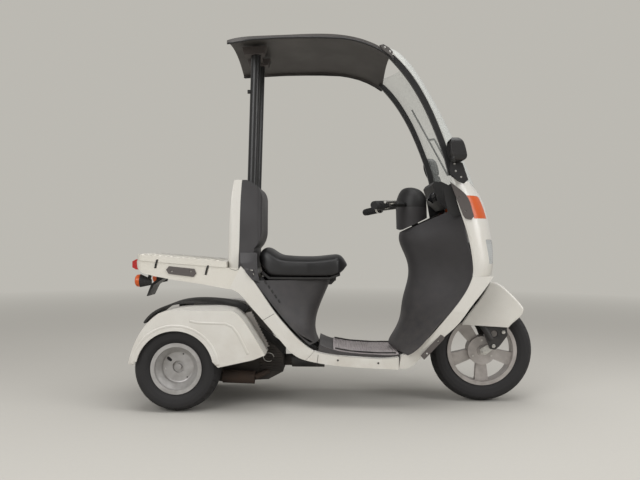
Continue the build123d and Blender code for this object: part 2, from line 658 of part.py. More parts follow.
def front_fender():
    """A mudguard over the front tyre, open below and behind."""
    top = [(725, 572), (770, 562), (811, 531), (853, 490), (886, 449)]
    front = [(886, 449), (882, 425), (867, 405), (819, 359)]
    rear = [(592, 371), (633, 430), (688, 503), (725, 572)]
    face = make_face([Spline(*[(x, 0, z) for x, z in top]), Spline(*[(x, 0, z) for x, z in front]),
                      Line((819, 0, 359), (592, 0, 371)), Spline(*[(x, 0, z) for x, z in rear])])
    t = FRONT_FENDER_WALL
    under = [(560, 430), (640, 495), (700, 545), (724, 567), (767, 557), (807, 526), (848, 485), (879, 448)]
    hollow = corners(under + [(900, 440), (900, 340), (560, 340)])
    outside = across(face, -FRONT_FENDER_HALF, FRONT_FENDER_HALF)
    outside = fillet([e for e in outer_edges(outside, FRONT_FENDER_HALF, 380)], FRONT_FENDER_CORNER)
    return outside - across(hollow, -FRONT_FENDER_HALF + t, FRONT_FENDER_HALF - t)


def bar_path(side):
    """The handlebar's centre line from its middle out to the grip end."""
    c = BAR_CENTRE
    return [c, c + Vector(-10, side * 70, 8), c + Vector(-100, side * 170, 0), c + Vector(-178, side * GRIP_OUTER_Y, -12)]


def handlebar():
    parts = []
    for side in (-1, 1):
        path = FilletPolyline(*bar_path(side), radius=45)
        parts.append(sweep(Plane(origin=path @ 0, z_dir=path % 0) * Circle(BAR_R), path=path))
    clamp = rod(on_steer_axis(-36), on_steer_axis(-SEAM), STEM_R + 9)
    return parts[0] + parts[1] + clamp


def grips():
    out = []
    for side in (-1, 1):
        pts = bar_path(side)
        a, b = pts[2], pts[3]
        d = (b - a).normalized()
        start = b - d * GRIP_LENGTH
        grip = rod(start, b + d * 4, GRIP_R) - rod(start - d * 5, b, BAR_R)
        out.append(grip)
    return Compound(children=[s for g in out for s in g.solids()])


def levers():
    out = []
    for side in (-1, 1):
        pts = bar_path(side)
        a, b = pts[2], pts[3]
        d = (b - a).normalized()
        root = b - d * (GRIP_LENGTH + 16)
        ahead = Vector(0.94, 0, 0.3)
        ring = rod(root - d * 9, root + d * 9, BAR_R + 9) - rod(root - d * 20, root + d * 20, BAR_R)
        tip = b + ahead * 46 - d * 6
        knee = root + ahead * 44
        blade = rod(root + ahead * 12, knee, 7) + rod(knee, tip, 6)
        out.append(ring + blade)
    return Compound(children=[s for g in out for s in g.solids()])


COVER_SPLIT = 918.0
COVER_LOW = 801.0
COVER_RINGS = [(COVER_SPLIT, 371, 73, 96), (945, 371, 72, 95), (970, 372, 66, 90), (992, 370, 54, 78), (1006, 366, 38, 58),
               (1013, 364, 20, 32)]      # height, middle x, half length, half width


def cover_rings(rings):
    """A loft through level ellipses."""
    return loft([Pos(x, 0, z) * Ellipse(a, b) for z, x, a, b in rings])


def bar_cover(bars):
    """The black dome over the middle of the handlebar."""
    return cover_rings(COVER_RINGS) - bars


def bar_cover_low(bars):
    """The grey lower half of the handlebar cover, its foot sloping like the inner shield's top."""
    z, x, a, b = COVER_RINGS[0]
    cup = cover_rings([(COVER_LOW, x + 4, a, b - 8), (z - SEAM, x, a, b)])
    below = across(corners([(280, 822), (324, 812), (470, 882), (470, 780), (280, 780)]), -120, 120)
    return cup - below - bars - rod(on_steer_axis(-60), on_steer_axis(200), STEM_R)


# Rear unit

TILT_AXIS_Z = 186.0
TILT_SHAFT_R = 16.0
TILT_CASE_R = 34.0
TILT_CASE = (-196.0, -40.0)
TILT_BORE_END = -68.0
ENGINE_HALF = 105.0
AXLE_HOUSING_END = 140.0


def tilt_case():
    """The frame's bearing case for the tilting rear unit, bored along X."""
    a, b = (TILT_CASE[0], 0, TILT_AXIS_Z), (TILT_CASE[1], 0, TILT_AXIS_Z)
    return rod(a, b, TILT_CASE_R) - rod((a[0] - 5, 0, a[2]), (TILT_BORE_END, 0, a[2]), TILT_SHAFT_R + RUNNING)


def engine():
    """Engine and gearcase as one block, with the tilt shaft in front and the axle housing behind."""
    low = corners([(-232, 148), (-300, 112), (-520, 100), (-600, 120), (-742, 142), (-742, 236), (-640, 262), (-520, 318),
                   (-360, 330), (-262, 262), (-232, 226)])
    block = across(low, -ENGINE_HALF, ENGINE_HALF)
    x, z = REAR_AXLE_X, REAR_TYRE_R
    housing = rod((x, -AXLE_HOUSING_END, z), (x, AXLE_HOUSING_END, z), 44)
    shaft = rod((-240, 0, TILT_AXIS_Z), (TILT_BORE_END - 2, 0, TILT_AXIS_Z), TILT_SHAFT_R)
    collar = rod((-236, 0, TILT_AXIS_Z), (TILT_CASE[0] - 1.0, 0, TILT_AXIS_Z), 27)
    whole = block + housing + shaft + collar
    return whole - rod((x, -300, z), (x, 300, z), REAR_SHAFT_R + RUNNING)


def muffler(block):
    """The silencer, slung low on the right-hand side."""
    can = rod((-505, -138, 132), (-360, -138, 128), 30)
    pipe = rod((-362, -138, 128), (-300, -100, 150), 13)
    return (can + pipe) - block


FENDER_BACK = [(-892, 214), (-881, 259), (-851, 333), (-809, 394), (-760, 436)]
FENDER_TOP = [(-760, 436), (-699, 453), (-589, 460), (-503, 459), (-442, 449)]
FENDER_FRONT = [(-442, 449), (-405, 422), (-368, 373), (-319, 295), (-297, 258)]
FENDER_LOW = [(-297, 258), (-349, 237), (-477, 208), (-501, 203)]
FENDER_ROOM = [(-880, 150), (-868, 262), (-838, 336), (-798, 392), (-750, 430), (-697, 446), (-589, 453), (-503, 452),
               (-446, 442), (-411, 418), (-375, 369), (-327, 292), (-306, 262), (-300, 150)]
FENDER_FOOT = 226.0
FENDER_ARCH_R = 169.0
FENDER_LIP = 15.0
FENDER_LIP_OUT = 3.0
FENDER_SKIN = 5.0
FENDER_CORNER = 12.0
FENDER_FALL = 12.0        # the crown's fall from its inner to its outer edge
WHEEL_WELL_R = 216.0


def fender_outline():
    reach = math.sqrt(FENDER_ARCH_R ** 2 - (FENDER_FOOT - REAR_TYRE_R) ** 2)
    front, back = (REAR_AXLE_X + reach, 0, FENDER_FOOT), (REAR_AXLE_X - reach, 0, FENDER_FOOT)
    arch = ThreePointArc(front, (REAR_AXLE_X, 0, REAR_TYRE_R + FENDER_ARCH_R), back)
    return make_face([Spline(*[(x, 0, z) for x, z in FENDER_BACK]), Spline(*[(x, 0, z) for x, z in FENDER_TOP]),
                      Spline(*[(x, 0, z) for x, z in FENDER_FRONT]),
                      Polyline(*[(x, 0, z) for x, z in FENDER_LOW], front), arch,
                      Line(back, (FENDER_BACK[0][0], 0, FENDER_BACK[0][1]))])


def rear_fender_right():
    """A white mudguard over one rear wheel: a hollow moulding with a lip round its arch."""
    x, z = REAR_AXLE_X, REAR_TYRE_R
    outline = fender_outline()
    solid = across(outline, -FENDER_HALF, -FENDER_INNER)
    crown = max(height for _, height in FENDER_TOP)
    slope = front_view([(-FENDER_HALF - 9, 0), (-FENDER_HALF - 9, crown - FENDER_FALL), (-FENDER_INNER - 70, crown - 1),
                        (-FENDER_INNER + 9, crown + 4), (-FENDER_INNER + 9, 0)], -1000, 0)
    hollow = across(corners(FENDER_ROOM), -FENDER_HALF + FENDER_SKIN, -FENDER_INNER - FENDER_SKIN)
    hollow = hollow & Pos(0, 0, -FENDER_SKIN) * slope
    rim = rod((x, -FENDER_HALF - FENDER_LIP_OUT, z), (x, -FENDER_HALF + 1, z), FENDER_ARCH_R + FENDER_LIP)
    rim = rim - rod((x, -400, z), (x, 0, z), FENDER_ARCH_R)
    rim = rim & across(corners([(-1000, FENDER_FOOT), (0, FENDER_FOOT), (0, 500), (-1000, 500)]), -400, 0)
    well = rod((x, -FENDER_HALF + FENDER_SKIN, z), (x, -FENDER_INNER + 5, z), WHEEL_WELL_R)
    shell = (solid & slope) - hollow - well
    return (shell + rim).solids().sort_by(SortBy.VOLUME)[-1]


def centre_fender():
    """The black guard between the two rear mudguards, over the gearcase."""
    top = [(-872, 377), (-805, 439), (-737, 462), (-649, 470), (-560, 466), (-470, 448), (-420, 420)]
    low = [(x + (6 if i < 2 else 0), z - 6) for i, (x, z) in enumerate(top)]
    face = loop(top, (top[-1], low[-1]), list(reversed(low)), (low[0], top[0]))
    return across(face, -FENDER_INNER + SEAM, FENDER_INNER - SEAM)


def frame_tubes(shell):
    """The main tube from the steering head, the rails under the floor and up to the deck, and cross members."""
    r = RAIL_R
    head = on_steer_axis(300)
    front = [(head.X - 8, 22, head.Z), (412, RAIL_Y * 0.7, 330), (310, RAIL_Y, RAIL_Z), (-20, RAIL_Y, RAIL_Z),
             (-190, RAIL_Y, 330), (-342, RAIL_Y, 500), (-400, RAIL_Y, 552)]
    path = FilletPolyline(*front, radius=40)
    rail = sweep(Plane(origin=path @ 0, z_dir=path % 0) * Circle(r), path=path)
    rails = rail + mirror(rail, Plane.XZ)
    for x, z in ((240, RAIL_Z), (-52, RAIL_Z), (-342, 500)):
        rails = rails + rod((x, -RAIL_Y, z), (x, RAIL_Y, z), r - 2)
    x, z = COWL_STAY
    cross = (rod((x, -270, z), (x, 270, z), 10) - shell).solids().sort_by(SortBy.VOLUME)[-1]
    stay = rod((on_steer_axis(200).X, 0, z), (x, 0, z), 10) + cross
    whole = rails + head_tube() + tilt_case() + stay
    return whole - rod(on_steer_axis(50), on_steer_axis(HEAD_TUBE_LOW + 20), STEM_R + RUNNING)


def fender_stays(block, guard):
    """Posts on the gearcase that carry the black guard and the two white mudguards."""
    posts = []
    for x0, x1, foot in ((-470, -440, 320), (-720, -690, 240)):
        post = across(corners([(x0, foot - 10), (x1, foot - 10), (x1, 480), (x0, 480)]), -96, 96)
        opening = across(corners([(x0 - 5, foot + 20), (x1 + 5, foot + 20), (x1 + 5, 425), (x0 - 5, 425)]), -74, 74)
        body = (post - opening - guard - block).solids().sort_by(Axis.Z)[0]
        posts.append(body)
    return Compound(children=posts)


# Fittings

def mirror_mounts():
    """Black brackets on the cowl's upper corners that carry the mirrors and the pillars' feet."""
    face = corners([(506, 1046), (500, 1072), (504, 1104), (520, 1108), (554, 1098), (579, 1024), (562, 1010), (536, 1022)])
    plate = across(face, -MIRROR_MOUNT_Y, -PILLAR_FRONT_Y - PILLAR_WIDTH - SEAM)
    return both_sides(plate)


def mirrors():
    """Mirror housings standing outside the pillars."""
    face = make_face([Spline(*[(x, 0, z) for x, z in [(507, 1099), (494, 1130), (487, 1180), (492, 1194), (518, 1196),
                                                     (540, 1172), (551, 1135), (551, 1106), (540, 1099)]]),
                      Line((540, 0, 1099), (507, 0, 1099))])
    middle, width = -(MIRROR_OUTER_Y + MIRROR_INNER_Y) / 2, MIRROR_OUTER_Y - MIRROR_INNER_Y
    seen_from_front = Plane(origin=(400, middle, 1147.5), x_dir=(0, 1, 0), z_dir=(1, 0, 0)) * RectangleRounded(width, 97, MIRROR_CORNER)
    shell = across(face, -MIRROR_OUTER_Y, -MIRROR_INNER_Y) & extrude(seen_from_front, 200)
    glass = corners([(470, 1108), (508, 1108), (500, 1130), (494, 1186), (470, 1186)])
    return both_sides(shell - across(glass, -MIRROR_OUTER_Y + MIRROR_RIM, -MIRROR_INNER_Y - MIRROR_RIM))


def cowl_plates(shell):
    """Flat brown plates with two holes, one on each upper side of the cowl."""
    face = make_face([Spline((505, 0, 1018), (547, 0, 986), (581, 0, 952), (600, 0, 905), (610, 0, 866)),
                      Polyline((610, 0, 866), (598, 0, 852), (572, 0, 858), (562, 0, 872), (505, 0, 1018))])
    plate = across(face, -276, -273)
    for x, z in ((545, 950), (572, 890)):
        plate = plate + rod((x, -274, z), (x, -240, z), 7)
        plate = plate - rod((x, -300, z), (x, -200, z), 4)
    seated = (plate - shell).solids().sort_by(SortBy.VOLUME)[-1]
    return both_sides(seated)


def deck_plates():
    """Flat plates with two holes, low on each side of the deck."""
    face = make_face([Polyline((-743, 0, 637), (-628, 0, 626), (-620, 0, 606), (-632, 0, 590), (-745, 0, 603), (-756, 0, 621),
                               (-743, 0, 637))])
    plate = across(face, -DECK_HALF - 1.5, -DECK_HALF + DECK_STEP)
    for x, z in PLATE_HOLES:
        plate = plate - rod((x, -300, z), (x, -100, z), PLATE_HOLE_R)
    return both_sides(plate)


def step_plates():
    """Slanted plates with two holes at the foot of each leg-shield wing."""
    face = corners([(384, 252), (400, 234), (488, 328), (484, 340), (472, 346)])
    plate = across(face, -252, -248)
    holes = rod((412, -300, 262), (412, -200, 262), 4) + rod((462, -300, 316), (462, -200, 316), 4)
    foot = across(corners([(420, 270), (432, 268), (452, 296), (444, 304)]), -250, -226)
    return both_sides((plate - holes) + foot)


def rear_indicators():
    """Cone-backed indicator bodies at the rear corners; the lens is a piece of its own."""
    x, y, z = REAR_LAMP
    cone = loft([Plane(origin=(x + 70, y, z - 6), z_dir=(-1, 0, 0)) * Circle(14),
                 Plane(origin=(x + 22, y, z), z_dir=(-1, 0, 0)) * Circle(30)])
    stalk = rod((x + 58, y, z), (x + 62, y + 30, z + 42), 8)
    return both_sides(cone + stalk)


def rear_indicator_lenses():
    x, y, z = REAR_LAMP
    lens = turned([(0, 0), (0, 20), (6, 27), (22 - SEAM, 29), (22 - SEAM, 0)], 0, 0)
    lens = Pos(x, y, z) * (Rot(0, 0, -90) * lens)
    return both_sides(lens)


def plate_bracket():
    """The blank number-plate bracket under the deck's rear edge."""
    return across(corners([(-884, 490), (-876, 490), (-852, 540), (-800, 578), (-790, 588), (-806, 591), (-862, 548)]), -60, 60)


def tail_lamp():
    """The tail lamp on the deck's rear edge."""
    z = 640
    return across(corners([(-895, z - 24), (-895, z + 24), (-930, z + 24), (-947.5, z + 14), (-947.5, z - 14), (-930, z - 24)]), -78, 78)


def roof_brackets():
    """Grey brackets under the roof that clamp the rear pillars."""
    side = corners([(-420, 1614), (-330, 1622), (-318, 1656), (-430, 1650)])
    one = across(side, -PILLAR_REAR_Y - 30, -PILLAR_REAR_Y + 30)
    cross = across(corners([(-396, 1628), (-350, 1632), (-350, 1644), (-396, 1642)]), -PILLAR_REAR_Y, PILLAR_REAR_Y)
    return one + mirror(one, Plane.XZ) + cross


def wiper():
    """The wiper parked beside the left pillar: a pivot on the cowl's top edge, an arm and a blade on the screen."""
    pivot = Vector(628, 158, 1048)
    elbow = Vector(516, 214, 1284)
    top, foot = Vector(405, 247, 1440), Vector(584, 200, 1096)
    middle = top + (foot - top) * 0.46
    blade = rod(top, foot, 4.5)
    return rod(pivot - Vector(6, 0, 34), pivot + Vector(2, 0, 8), 9) + rod(pivot, elbow, 4.5) + rod(elbow, middle, 5) + blade


def meter_hood():
    """The black instrument panel behind the screen's foot."""
    face = corners([(462, 1024), (472, 1040), (508, 1038), (585, 1000), (575, 925), (526, 912), (486, 950)])
    return across(face, -60, 225)


def fuel_tank(box):
    """The tank with its filler cap, seated against the sloping back of the seat box."""
    tank = across(corners([(-300, 440), (-300, 520), (-290, 540), (-134, 540), (-112, 520), (-112, 400), (-240, 400)]), -70, 70)
    inside = (tank - box).solids().sort_by(SortBy.VOLUME)[-1]
    return inside + rod((-190, 0, 538), (-190, 0, 562), 28)


def main():
    os.makedirs("parts", exist_ok=True)
    shell = cowl_shell()
    frame = frame_tubes(shell)
    rim, front = front_wheel()
    rear_rim, rear = rear_wheel_right()
    inner = inner_shield() - shell
    wings = leg_shield_wings() - inner
    bars = handlebar()
    deck, deck_cap = deck_body(), deck_top()
    top = roof()
    posts = rear_pillars()
    screen = windscreen() - top
    mounts = mirror_mounts() - shell
    box = seat_box() - frame
    board = floor_board() - frame
    block = engine()
    guard = centre_fender()
    tyre_right = rear - rear_rim
    nodes = {
        "frame": frame,
        "floor_board": board,
        "floor_mat": floor_mat(board),
        "floor_skirts": floor_skirts(),
        "rear_panels": rear_panels() - deck - deck_cap,
        "front_cowl": front_cowl(shell),
        "headlamp_lenses": headlamp_lenses(shell),
        "headlamp_shells": headlamp_shells(shell),
        "front_indicator_lenses": indicator_lenses(shell),
        "leg_shield_wings": wings,
        "inner_shield": inner,
        "meter_hood": meter_hood() - shell,
        "cowl_plates": cowl_plates(shell),
        "step_plates": step_plates() - wings,
        "deck_plates": deck_plates() - deck,
        "front_pillars": front_pillars() - top,
        "rear_pillars": posts,
        "roof": top,
        "roof_brackets": roof_brackets() - posts - top,
        "windscreen": screen,
        "wiper": wiper() - shell - screen,
        "mirror_mounts": mounts,
        "mirrors": mirrors() - mounts,
        "seat_box": box,
        "fuel_tank": fuel_tank(box),
        "backrest": backrest() - posts - deck,
        "back_cover": back_cover() - posts - deck,
        "deck_top": deck_cap,
        "deck_body": deck,
        "rear_indicators": rear_indicators() - deck,
        "rear_indicator_lenses": rear_indicator_lenses(),
        "plate_bracket": plate_bracket() - deck,
        "tail_lamp": tail_lamp() - deck,
        "seat_pan": seat_pan(),
        "seat_cushion": seat_cushion(),
        "fork": fork(),
        "fork_links": fork_links(),
        "front_fender": front_fender(),
        "handlebar": bars,
        "grips": grips(),
        "brake_levers": levers() - bars,
        "bar_cover": bar_cover(bars),
        "bar_cover_low": bar_cover_low(bars),
        "front_rim": rim,
        "front_tyre": front - rim,
        "engine": block,
        "muffler": muffler(block),
        "rear_fenders": both_sides(rear_fender_right()),
        "fender_stays": fender_stays(block, guard),
        "centre_fender": guard,
        "rear_rim_right": rear_rim,
        "rear_tyre_right": tyre_right,
        "rear_rim_left": left_of(rear_rim),
        "rear_tyre_left": left_of(tyre_right),
    }
    for name, shape in nodes.items():
        export_step(shape, f"parts/{name}.step")


main()
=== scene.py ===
"""A three-wheel delivery scooter with a roof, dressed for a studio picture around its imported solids."""
import json
import math

import bmesh
import bpy
import numpy as np
from mathutils import Matrix, Vector
from mathutils.bvhtree import BVHTree


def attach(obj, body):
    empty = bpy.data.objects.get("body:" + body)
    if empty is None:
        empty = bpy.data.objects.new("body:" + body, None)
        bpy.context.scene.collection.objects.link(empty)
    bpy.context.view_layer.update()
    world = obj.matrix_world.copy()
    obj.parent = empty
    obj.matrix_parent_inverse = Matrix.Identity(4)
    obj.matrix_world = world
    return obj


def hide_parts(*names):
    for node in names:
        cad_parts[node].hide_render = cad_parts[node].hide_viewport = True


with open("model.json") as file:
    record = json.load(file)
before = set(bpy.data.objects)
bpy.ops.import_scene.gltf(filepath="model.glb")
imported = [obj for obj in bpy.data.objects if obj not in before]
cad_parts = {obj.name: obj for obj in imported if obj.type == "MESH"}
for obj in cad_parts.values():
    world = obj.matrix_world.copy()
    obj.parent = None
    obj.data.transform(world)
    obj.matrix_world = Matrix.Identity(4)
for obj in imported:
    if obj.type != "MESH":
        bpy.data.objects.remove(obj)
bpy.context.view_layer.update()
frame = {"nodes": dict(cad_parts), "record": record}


# Sizes and places that several pieces share, in metres

SIDES = ((-1, "right"), (1, "left"))
FRONT_AXLE_X, FRONT_AXLE_Z, FRONT_TYRE_R = 0.7055, 0.242, 0.242
REAR_AXLE_X, REAR_AXLE_Z, REAR_TYRE_R = -0.6895, 0.191, 0.191
REAR_WHEEL_Y = 0.232
TREAD_DEPTH = 0.0035
DECK_REAR_X, DECK_REAR_Z, DECK_SLOPE = -0.892, 0.690, 0.0741445
GRIP_END = (0.1715, 0.318, 0.9111)
GRIP_DIRECTION = (-0.465, 0.8825, -0.0716)
HOOK_ENDS = (((-0.796, 0.667), (-0.806, 0.627)), ((-0.566, 0.642), (-0.578, 0.598)))
ARCH_ROLL_R = 0.187


# Shader building

class Wire:
    """One shader output. Sums, differences and products of wires add Math nodes."""

    def __init__(self, finish, socket):
        self.finish, self.socket = finish, socket

    def _math(self, operation, a, b):
        return self.finish.node("ShaderNodeMath", {"operation": operation}, {0: a, 1: b})

    def __add__(self, other):
        return self._math("ADD", self, other)

    def __radd__(self, other):
        return self._math("ADD", other, self)

    def __rsub__(self, other):
        return self._math("SUBTRACT", other, self)

    def __mul__(self, other):
        return self._math("MULTIPLY", self, other)

    def clamp(self, low, high):
        """0 at low, 1 at high, straight between."""
        return self.finish.node("ShaderNodeMapRange", {"clamp": True},
                                {"Value": self, "From Min": low, "From Max": high})


class Graph:
    """A shader graph and its one way of making nodes."""

    def __init__(self, tree):
        self.tree = tree

    def node(self, kind, settings=None, inputs=None, out=0):
        """A node of this kind, its settings first, then the values or links of its sockets."""
        made = self.tree.nodes.new(kind)
        for key, value in (settings or {}).items():
            setattr(made, key, value)
        for key, value in (inputs or {}).items():
            if isinstance(value, Wire):
                self.tree.links.new(value.socket, made.inputs[key])
            else:
                made.inputs[key].default_value = value
        return Wire(self, made.outputs[out])

    def mix(self, amount, a, b):
        """Colour a where amount is 0, colour b where it is 1."""
        a = a if isinstance(a, Wire) else (*a, 1.0)
        b = b if isinstance(b, Wire) else (*b, 1.0)
        return self.node("ShaderNodeMix", {"data_type": "RGBA"}, {0: amount, 6: a, 7: b}, out=2)


class Finish(Graph):
    """One material: a Principled shader, with its other nodes made by node()."""

    def __init__(self, name, color, roughness, **fixed):
        self.material = bpy.data.materials.new(name)
        self.material.use_nodes = True
        super().__init__(self.material.node_tree)
        self.shader = self.tree.nodes["Principled BSDF"]
        self.shader.inputs["Base Color"].default_value = (*color, 1.0)
        self.shader.inputs["Roughness"].default_value = roughness
        for socket, value in fixed.items():
            self.shader.inputs[socket.replace("_", " ")].default_value = value
        self.place = None

    def at(self):
        """Object coordinates, in metres."""
        if self.place is None:
            self.place = self.node("ShaderNodeTexCoord", out=3)
        return self.place

    def axis(self, index):
        return self.node("ShaderNodeSeparateXYZ", inputs={0: self.at()}, out=index)

    def noise(self, scale, detail=3.0, stretch=(1, 1, 1)):
        place = self.at()
        if stretch != (1, 1, 1):
            place = self.node("ShaderNodeMapping", inputs={"Vector": place, "Scale": stretch})
        return self.node("ShaderNodeTexNoise", inputs={"Vector": place, "Scale": scale, "Detail": detail})

    def cells(self, scale, stretch=(1, 1, 1)):
        place = self.node("ShaderNodeMapping", inputs={"Vector": self.at(), "Scale": stretch})
        return self.node("ShaderNodeTexVoronoi", {"feature": "F1"}, {"Vector": place, "Scale": scale})

    def feed(self, socket, wire):
        self.tree.links.new(wire.socket, self.shader.inputs[socket])

    def bump(self, height, strength, distance):
        normal = self.node("ShaderNodeBump",
                           inputs={"Height": height, "Strength": strength, "Distance": distance})
        self.feed("Normal", normal)


def near_floor(f, low=0.10, high=0.55):
    """1 near the ground, fading to 0 higher up, where road dirt gathers."""
    return 1.0 - f.axis(2).clamp(low, high)


def gloss_panel(name, color, dirt, roughness=0.28):
    """Glossy moulded bodywork: faint yellowing, road film low down, hairline scuffs in the gloss."""
    f = Finish(name, color, roughness, Coat_Weight=0.3, Coat_Roughness=0.12)
    cloud = f.noise(5.0, 4.0).clamp(0.40, 0.75)
    specks = f.noise(160.0, 2.0).clamp(0.62, 0.80)
    film = near_floor(f) * f.noise(14.0, 4.0).clamp(0.35, 0.70)
    shade = f.mix(cloud * 0.35, color, [c * k for c, k in zip(color, (0.95, 0.93, 0.88))])
    shade = f.mix(film * 0.35, shade, dirt)
    f.feed("Base Color", f.mix(specks * 0.18, shade, dirt))
    scuffs = f.noise(90.0, 3.0, stretch=(0.25, 1, 1.6)).clamp(0.5, 0.8)
    f.feed("Roughness", roughness + scuffs * 0.14 + film * 0.2)
    f.bump(f.noise(26.0, 2.0), 0.04, 0.002)
    return f


def grained_plastic(name, color, roughness=0.55, grain=900.0, pale=1.6):
    """Moulded plastic with a fine leather-like grain, paler where it is rubbed."""
    f = Finish(name, color, roughness)
    worn = f.noise(7.0, 5.0).clamp(0.42, 0.72)
    dust = near_floor(f, 0.15, 0.7) * f.noise(30.0, 4.0).clamp(0.3, 0.8)
    shade = f.mix(worn * 0.5, color, [min(c * pale, 1.0) for c in color])
    f.feed("Base Color", f.mix(dust * 0.3, shade, (0.16, 0.14, 0.12)))
    f.feed("Roughness", roughness - worn * 0.12 + dust * 0.15)
    f.bump(f.cells(grain), 0.25, 0.0006)
    return f


def coated_metal(name, color, roughness=0.4, metallic=0.0, dust=(0.12, 0.10, 0.085), amount=0.3):
    """Painted or bare metal, slightly uneven, with dust in the low places."""
    f = Finish(name, color, roughness, Metallic=metallic)
    uneven = f.noise(40.0, 4.0)
    grime = near_floor(f, 0.1, 0.6) * f.noise(22.0, 5.0).clamp(0.35, 0.75)
    shade = f.mix(uneven * 0.3, color, [min(c * 1.35 + 0.004, 1.0) for c in color])
    f.feed("Base Color", f.mix(grime * amount, shade, dust))
    f.feed("Roughness", roughness + uneven * 0.12 + grime * 0.25)
    f.bump(f.noise(300.0, 2.0), 0.08, 0.0005)
    return f


def clear_plastic(name, tint, roughness, alpha, rib=None):
    """A clear moulded sheet: mostly seen through, with a sheen and faint haze.
    A lens has level ribs too, and rib is their spacing."""
    f = Finish(name, tint, roughness, Specular_IOR_Level=0.6)
    haze = f.noise(9.0, 4.0).clamp(0.45, 0.8)
    rim = f.node("ShaderNodeLayerWeight", inputs={"Blend": 0.35}, out=1)
    f.feed("Alpha", alpha + haze * 0.05 + rim * 0.30)
    f.feed("Roughness", roughness + haze * 0.1)
    if rib:
        wave = f.node("ShaderNodeMath", {"operation": "SINE"}, {0: f.axis(2) * (2 * math.pi / rib)})
        f.bump(wave, 0.6, 0.001)
    return f


def rubber(name, color, roughness=0.75, dust=0.35):
    f = Finish(name, color, roughness)
    bloom = f.noise(18.0, 5.0).clamp(0.35, 0.75)
    f.feed("Base Color", f.mix(bloom * dust, color, [min(c * 2.2 + 0.01, 1.0) for c in color]))
    f.feed("Roughness", roughness + bloom * 0.12)
    f.bump(f.noise(500.0, 2.0), 0.15, 0.0005)
    return f


WHITE = (0.66, 0.642, 0.60)
ROAD_DIRT = (0.33, 0.27, 0.20)

finishes = {
    "white": gloss_panel("warm_white_bodywork", WHITE, ROAD_DIRT),
    "deck_white": gloss_panel("deck_white_plastic", (0.65, 0.625, 0.565), ROAD_DIRT, 0.36),
    "dark_grey": grained_plastic("dark_grained_plastic", (0.032, 0.030, 0.0315)),
    "roof_grey": grained_plastic("roof_moulding", (0.070, 0.064, 0.060), 0.5, 700.0, 1.25),
    "black_plastic": grained_plastic("black_plastic", (0.010, 0.0095, 0.0095), 0.6, 600.0, 1.5),
    "mirror_shell": grained_plastic("mirror_housing_plastic", (0.016, 0.015, 0.015), 0.42, 800.0),
    "black_steel": coated_metal("black_enamel", (0.012, 0.012, 0.012), 0.3),
    "fork_black": coated_metal("fork_black", (0.016, 0.015, 0.015), 0.42),
    "bracket_grey": coated_metal("brown_grey_bracket", (0.080, 0.069, 0.065), 0.55),
    "bright_steel": coated_metal("bright_plated_steel", (0.62, 0.61, 0.58), 0.22, 1.0),
    "cast_wheel": coated_metal("cast_wheel_paint", (0.46, 0.43, 0.41), 0.36, 0.55, amount=0.45),
    "steel_wheel": coated_metal("silver_wheel_paint", (0.42, 0.41, 0.40), 0.38, 0.5, amount=0.45),
    "engine_metal": coated_metal("engine_casting", (0.030, 0.026, 0.023), 0.65, 0.2, amount=0.35),
    "muffler_steel": coated_metal("heat_worn_steel", (0.040, 0.028, 0.022), 0.66, 0.3, (0.10, 0.06, 0.038),
                                  0.45),
    "reflector": coated_metal("lamp_bowl", (0.75, 0.75, 0.74), 0.15, 1.0, amount=0.05),
    "clear_screen": clear_plastic("clear_screen", (0.80, 0.83, 0.80), 0.06, 0.10),
    "lamp_lens": clear_plastic("lamp_lens", (0.62, 0.64, 0.64), 0.12, 0.42, rib=0.009),
    "orange_lens": coated_metal("orange_lens", (0.56, 0.085, 0.006), 0.25, amount=0.05),
    "red_lens": coated_metal("red_lens", (0.42, 0.015, 0.012), 0.22, amount=0.1),
    "mat": rubber("grey_floor_mat", (0.30, 0.27, 0.27), 0.7, 0.3),
    "vinyl": rubber("black_vinyl", (0.009, 0.0085, 0.009), 0.38, 0.15),
    "grip_rubber": rubber("grip_rubber", (0.012, 0.012, 0.012)),
    "tyre": rubber("tyre_rubber", (0.012, 0.011, 0.0115), 0.72, 0.3),
    "louvre_grey": coated_metal("louvre_grey", (0.30, 0.28, 0.26), 0.5),
    "silvered_glass": coated_metal("silvered_glass", (0.80, 0.81, 0.82), 0.03, 1.0, amount=0.05),
    "yellow_tab": coated_metal("yellow_tab", (0.55, 0.36, 0.03), 0.4, amount=0.1),
    "meter_black": coated_metal("meter_black", (0.02, 0.02, 0.022), 0.15),
}

slot_of = {part["node"]: part["material_slot"] for part in frame["record"]["subparts"]}
for node_name, thing in frame["nodes"].items():
    thing.data.materials.clear()
    thing.data.materials.append(finishes[slot_of[node_name]].material)


# Surfaces

def grid_faces(rows, columns, closed_rows=False, closed_columns=False):
    """Quads of a rows by columns grid of points, wrapped where a direction closes on itself."""
    r = np.arange(rows if closed_rows else rows - 1)
    c = np.arange(columns if closed_columns else columns - 1)
    r, c = np.meshgrid(r, c, indexing="ij")
    r2, c2 = (r + 1) % rows, (c + 1) % columns
    return np.stack([r * columns + c, r2 * columns + c, r2 * columns + c2, r * columns + c2],
                    axis=-1).reshape(-1, 4)


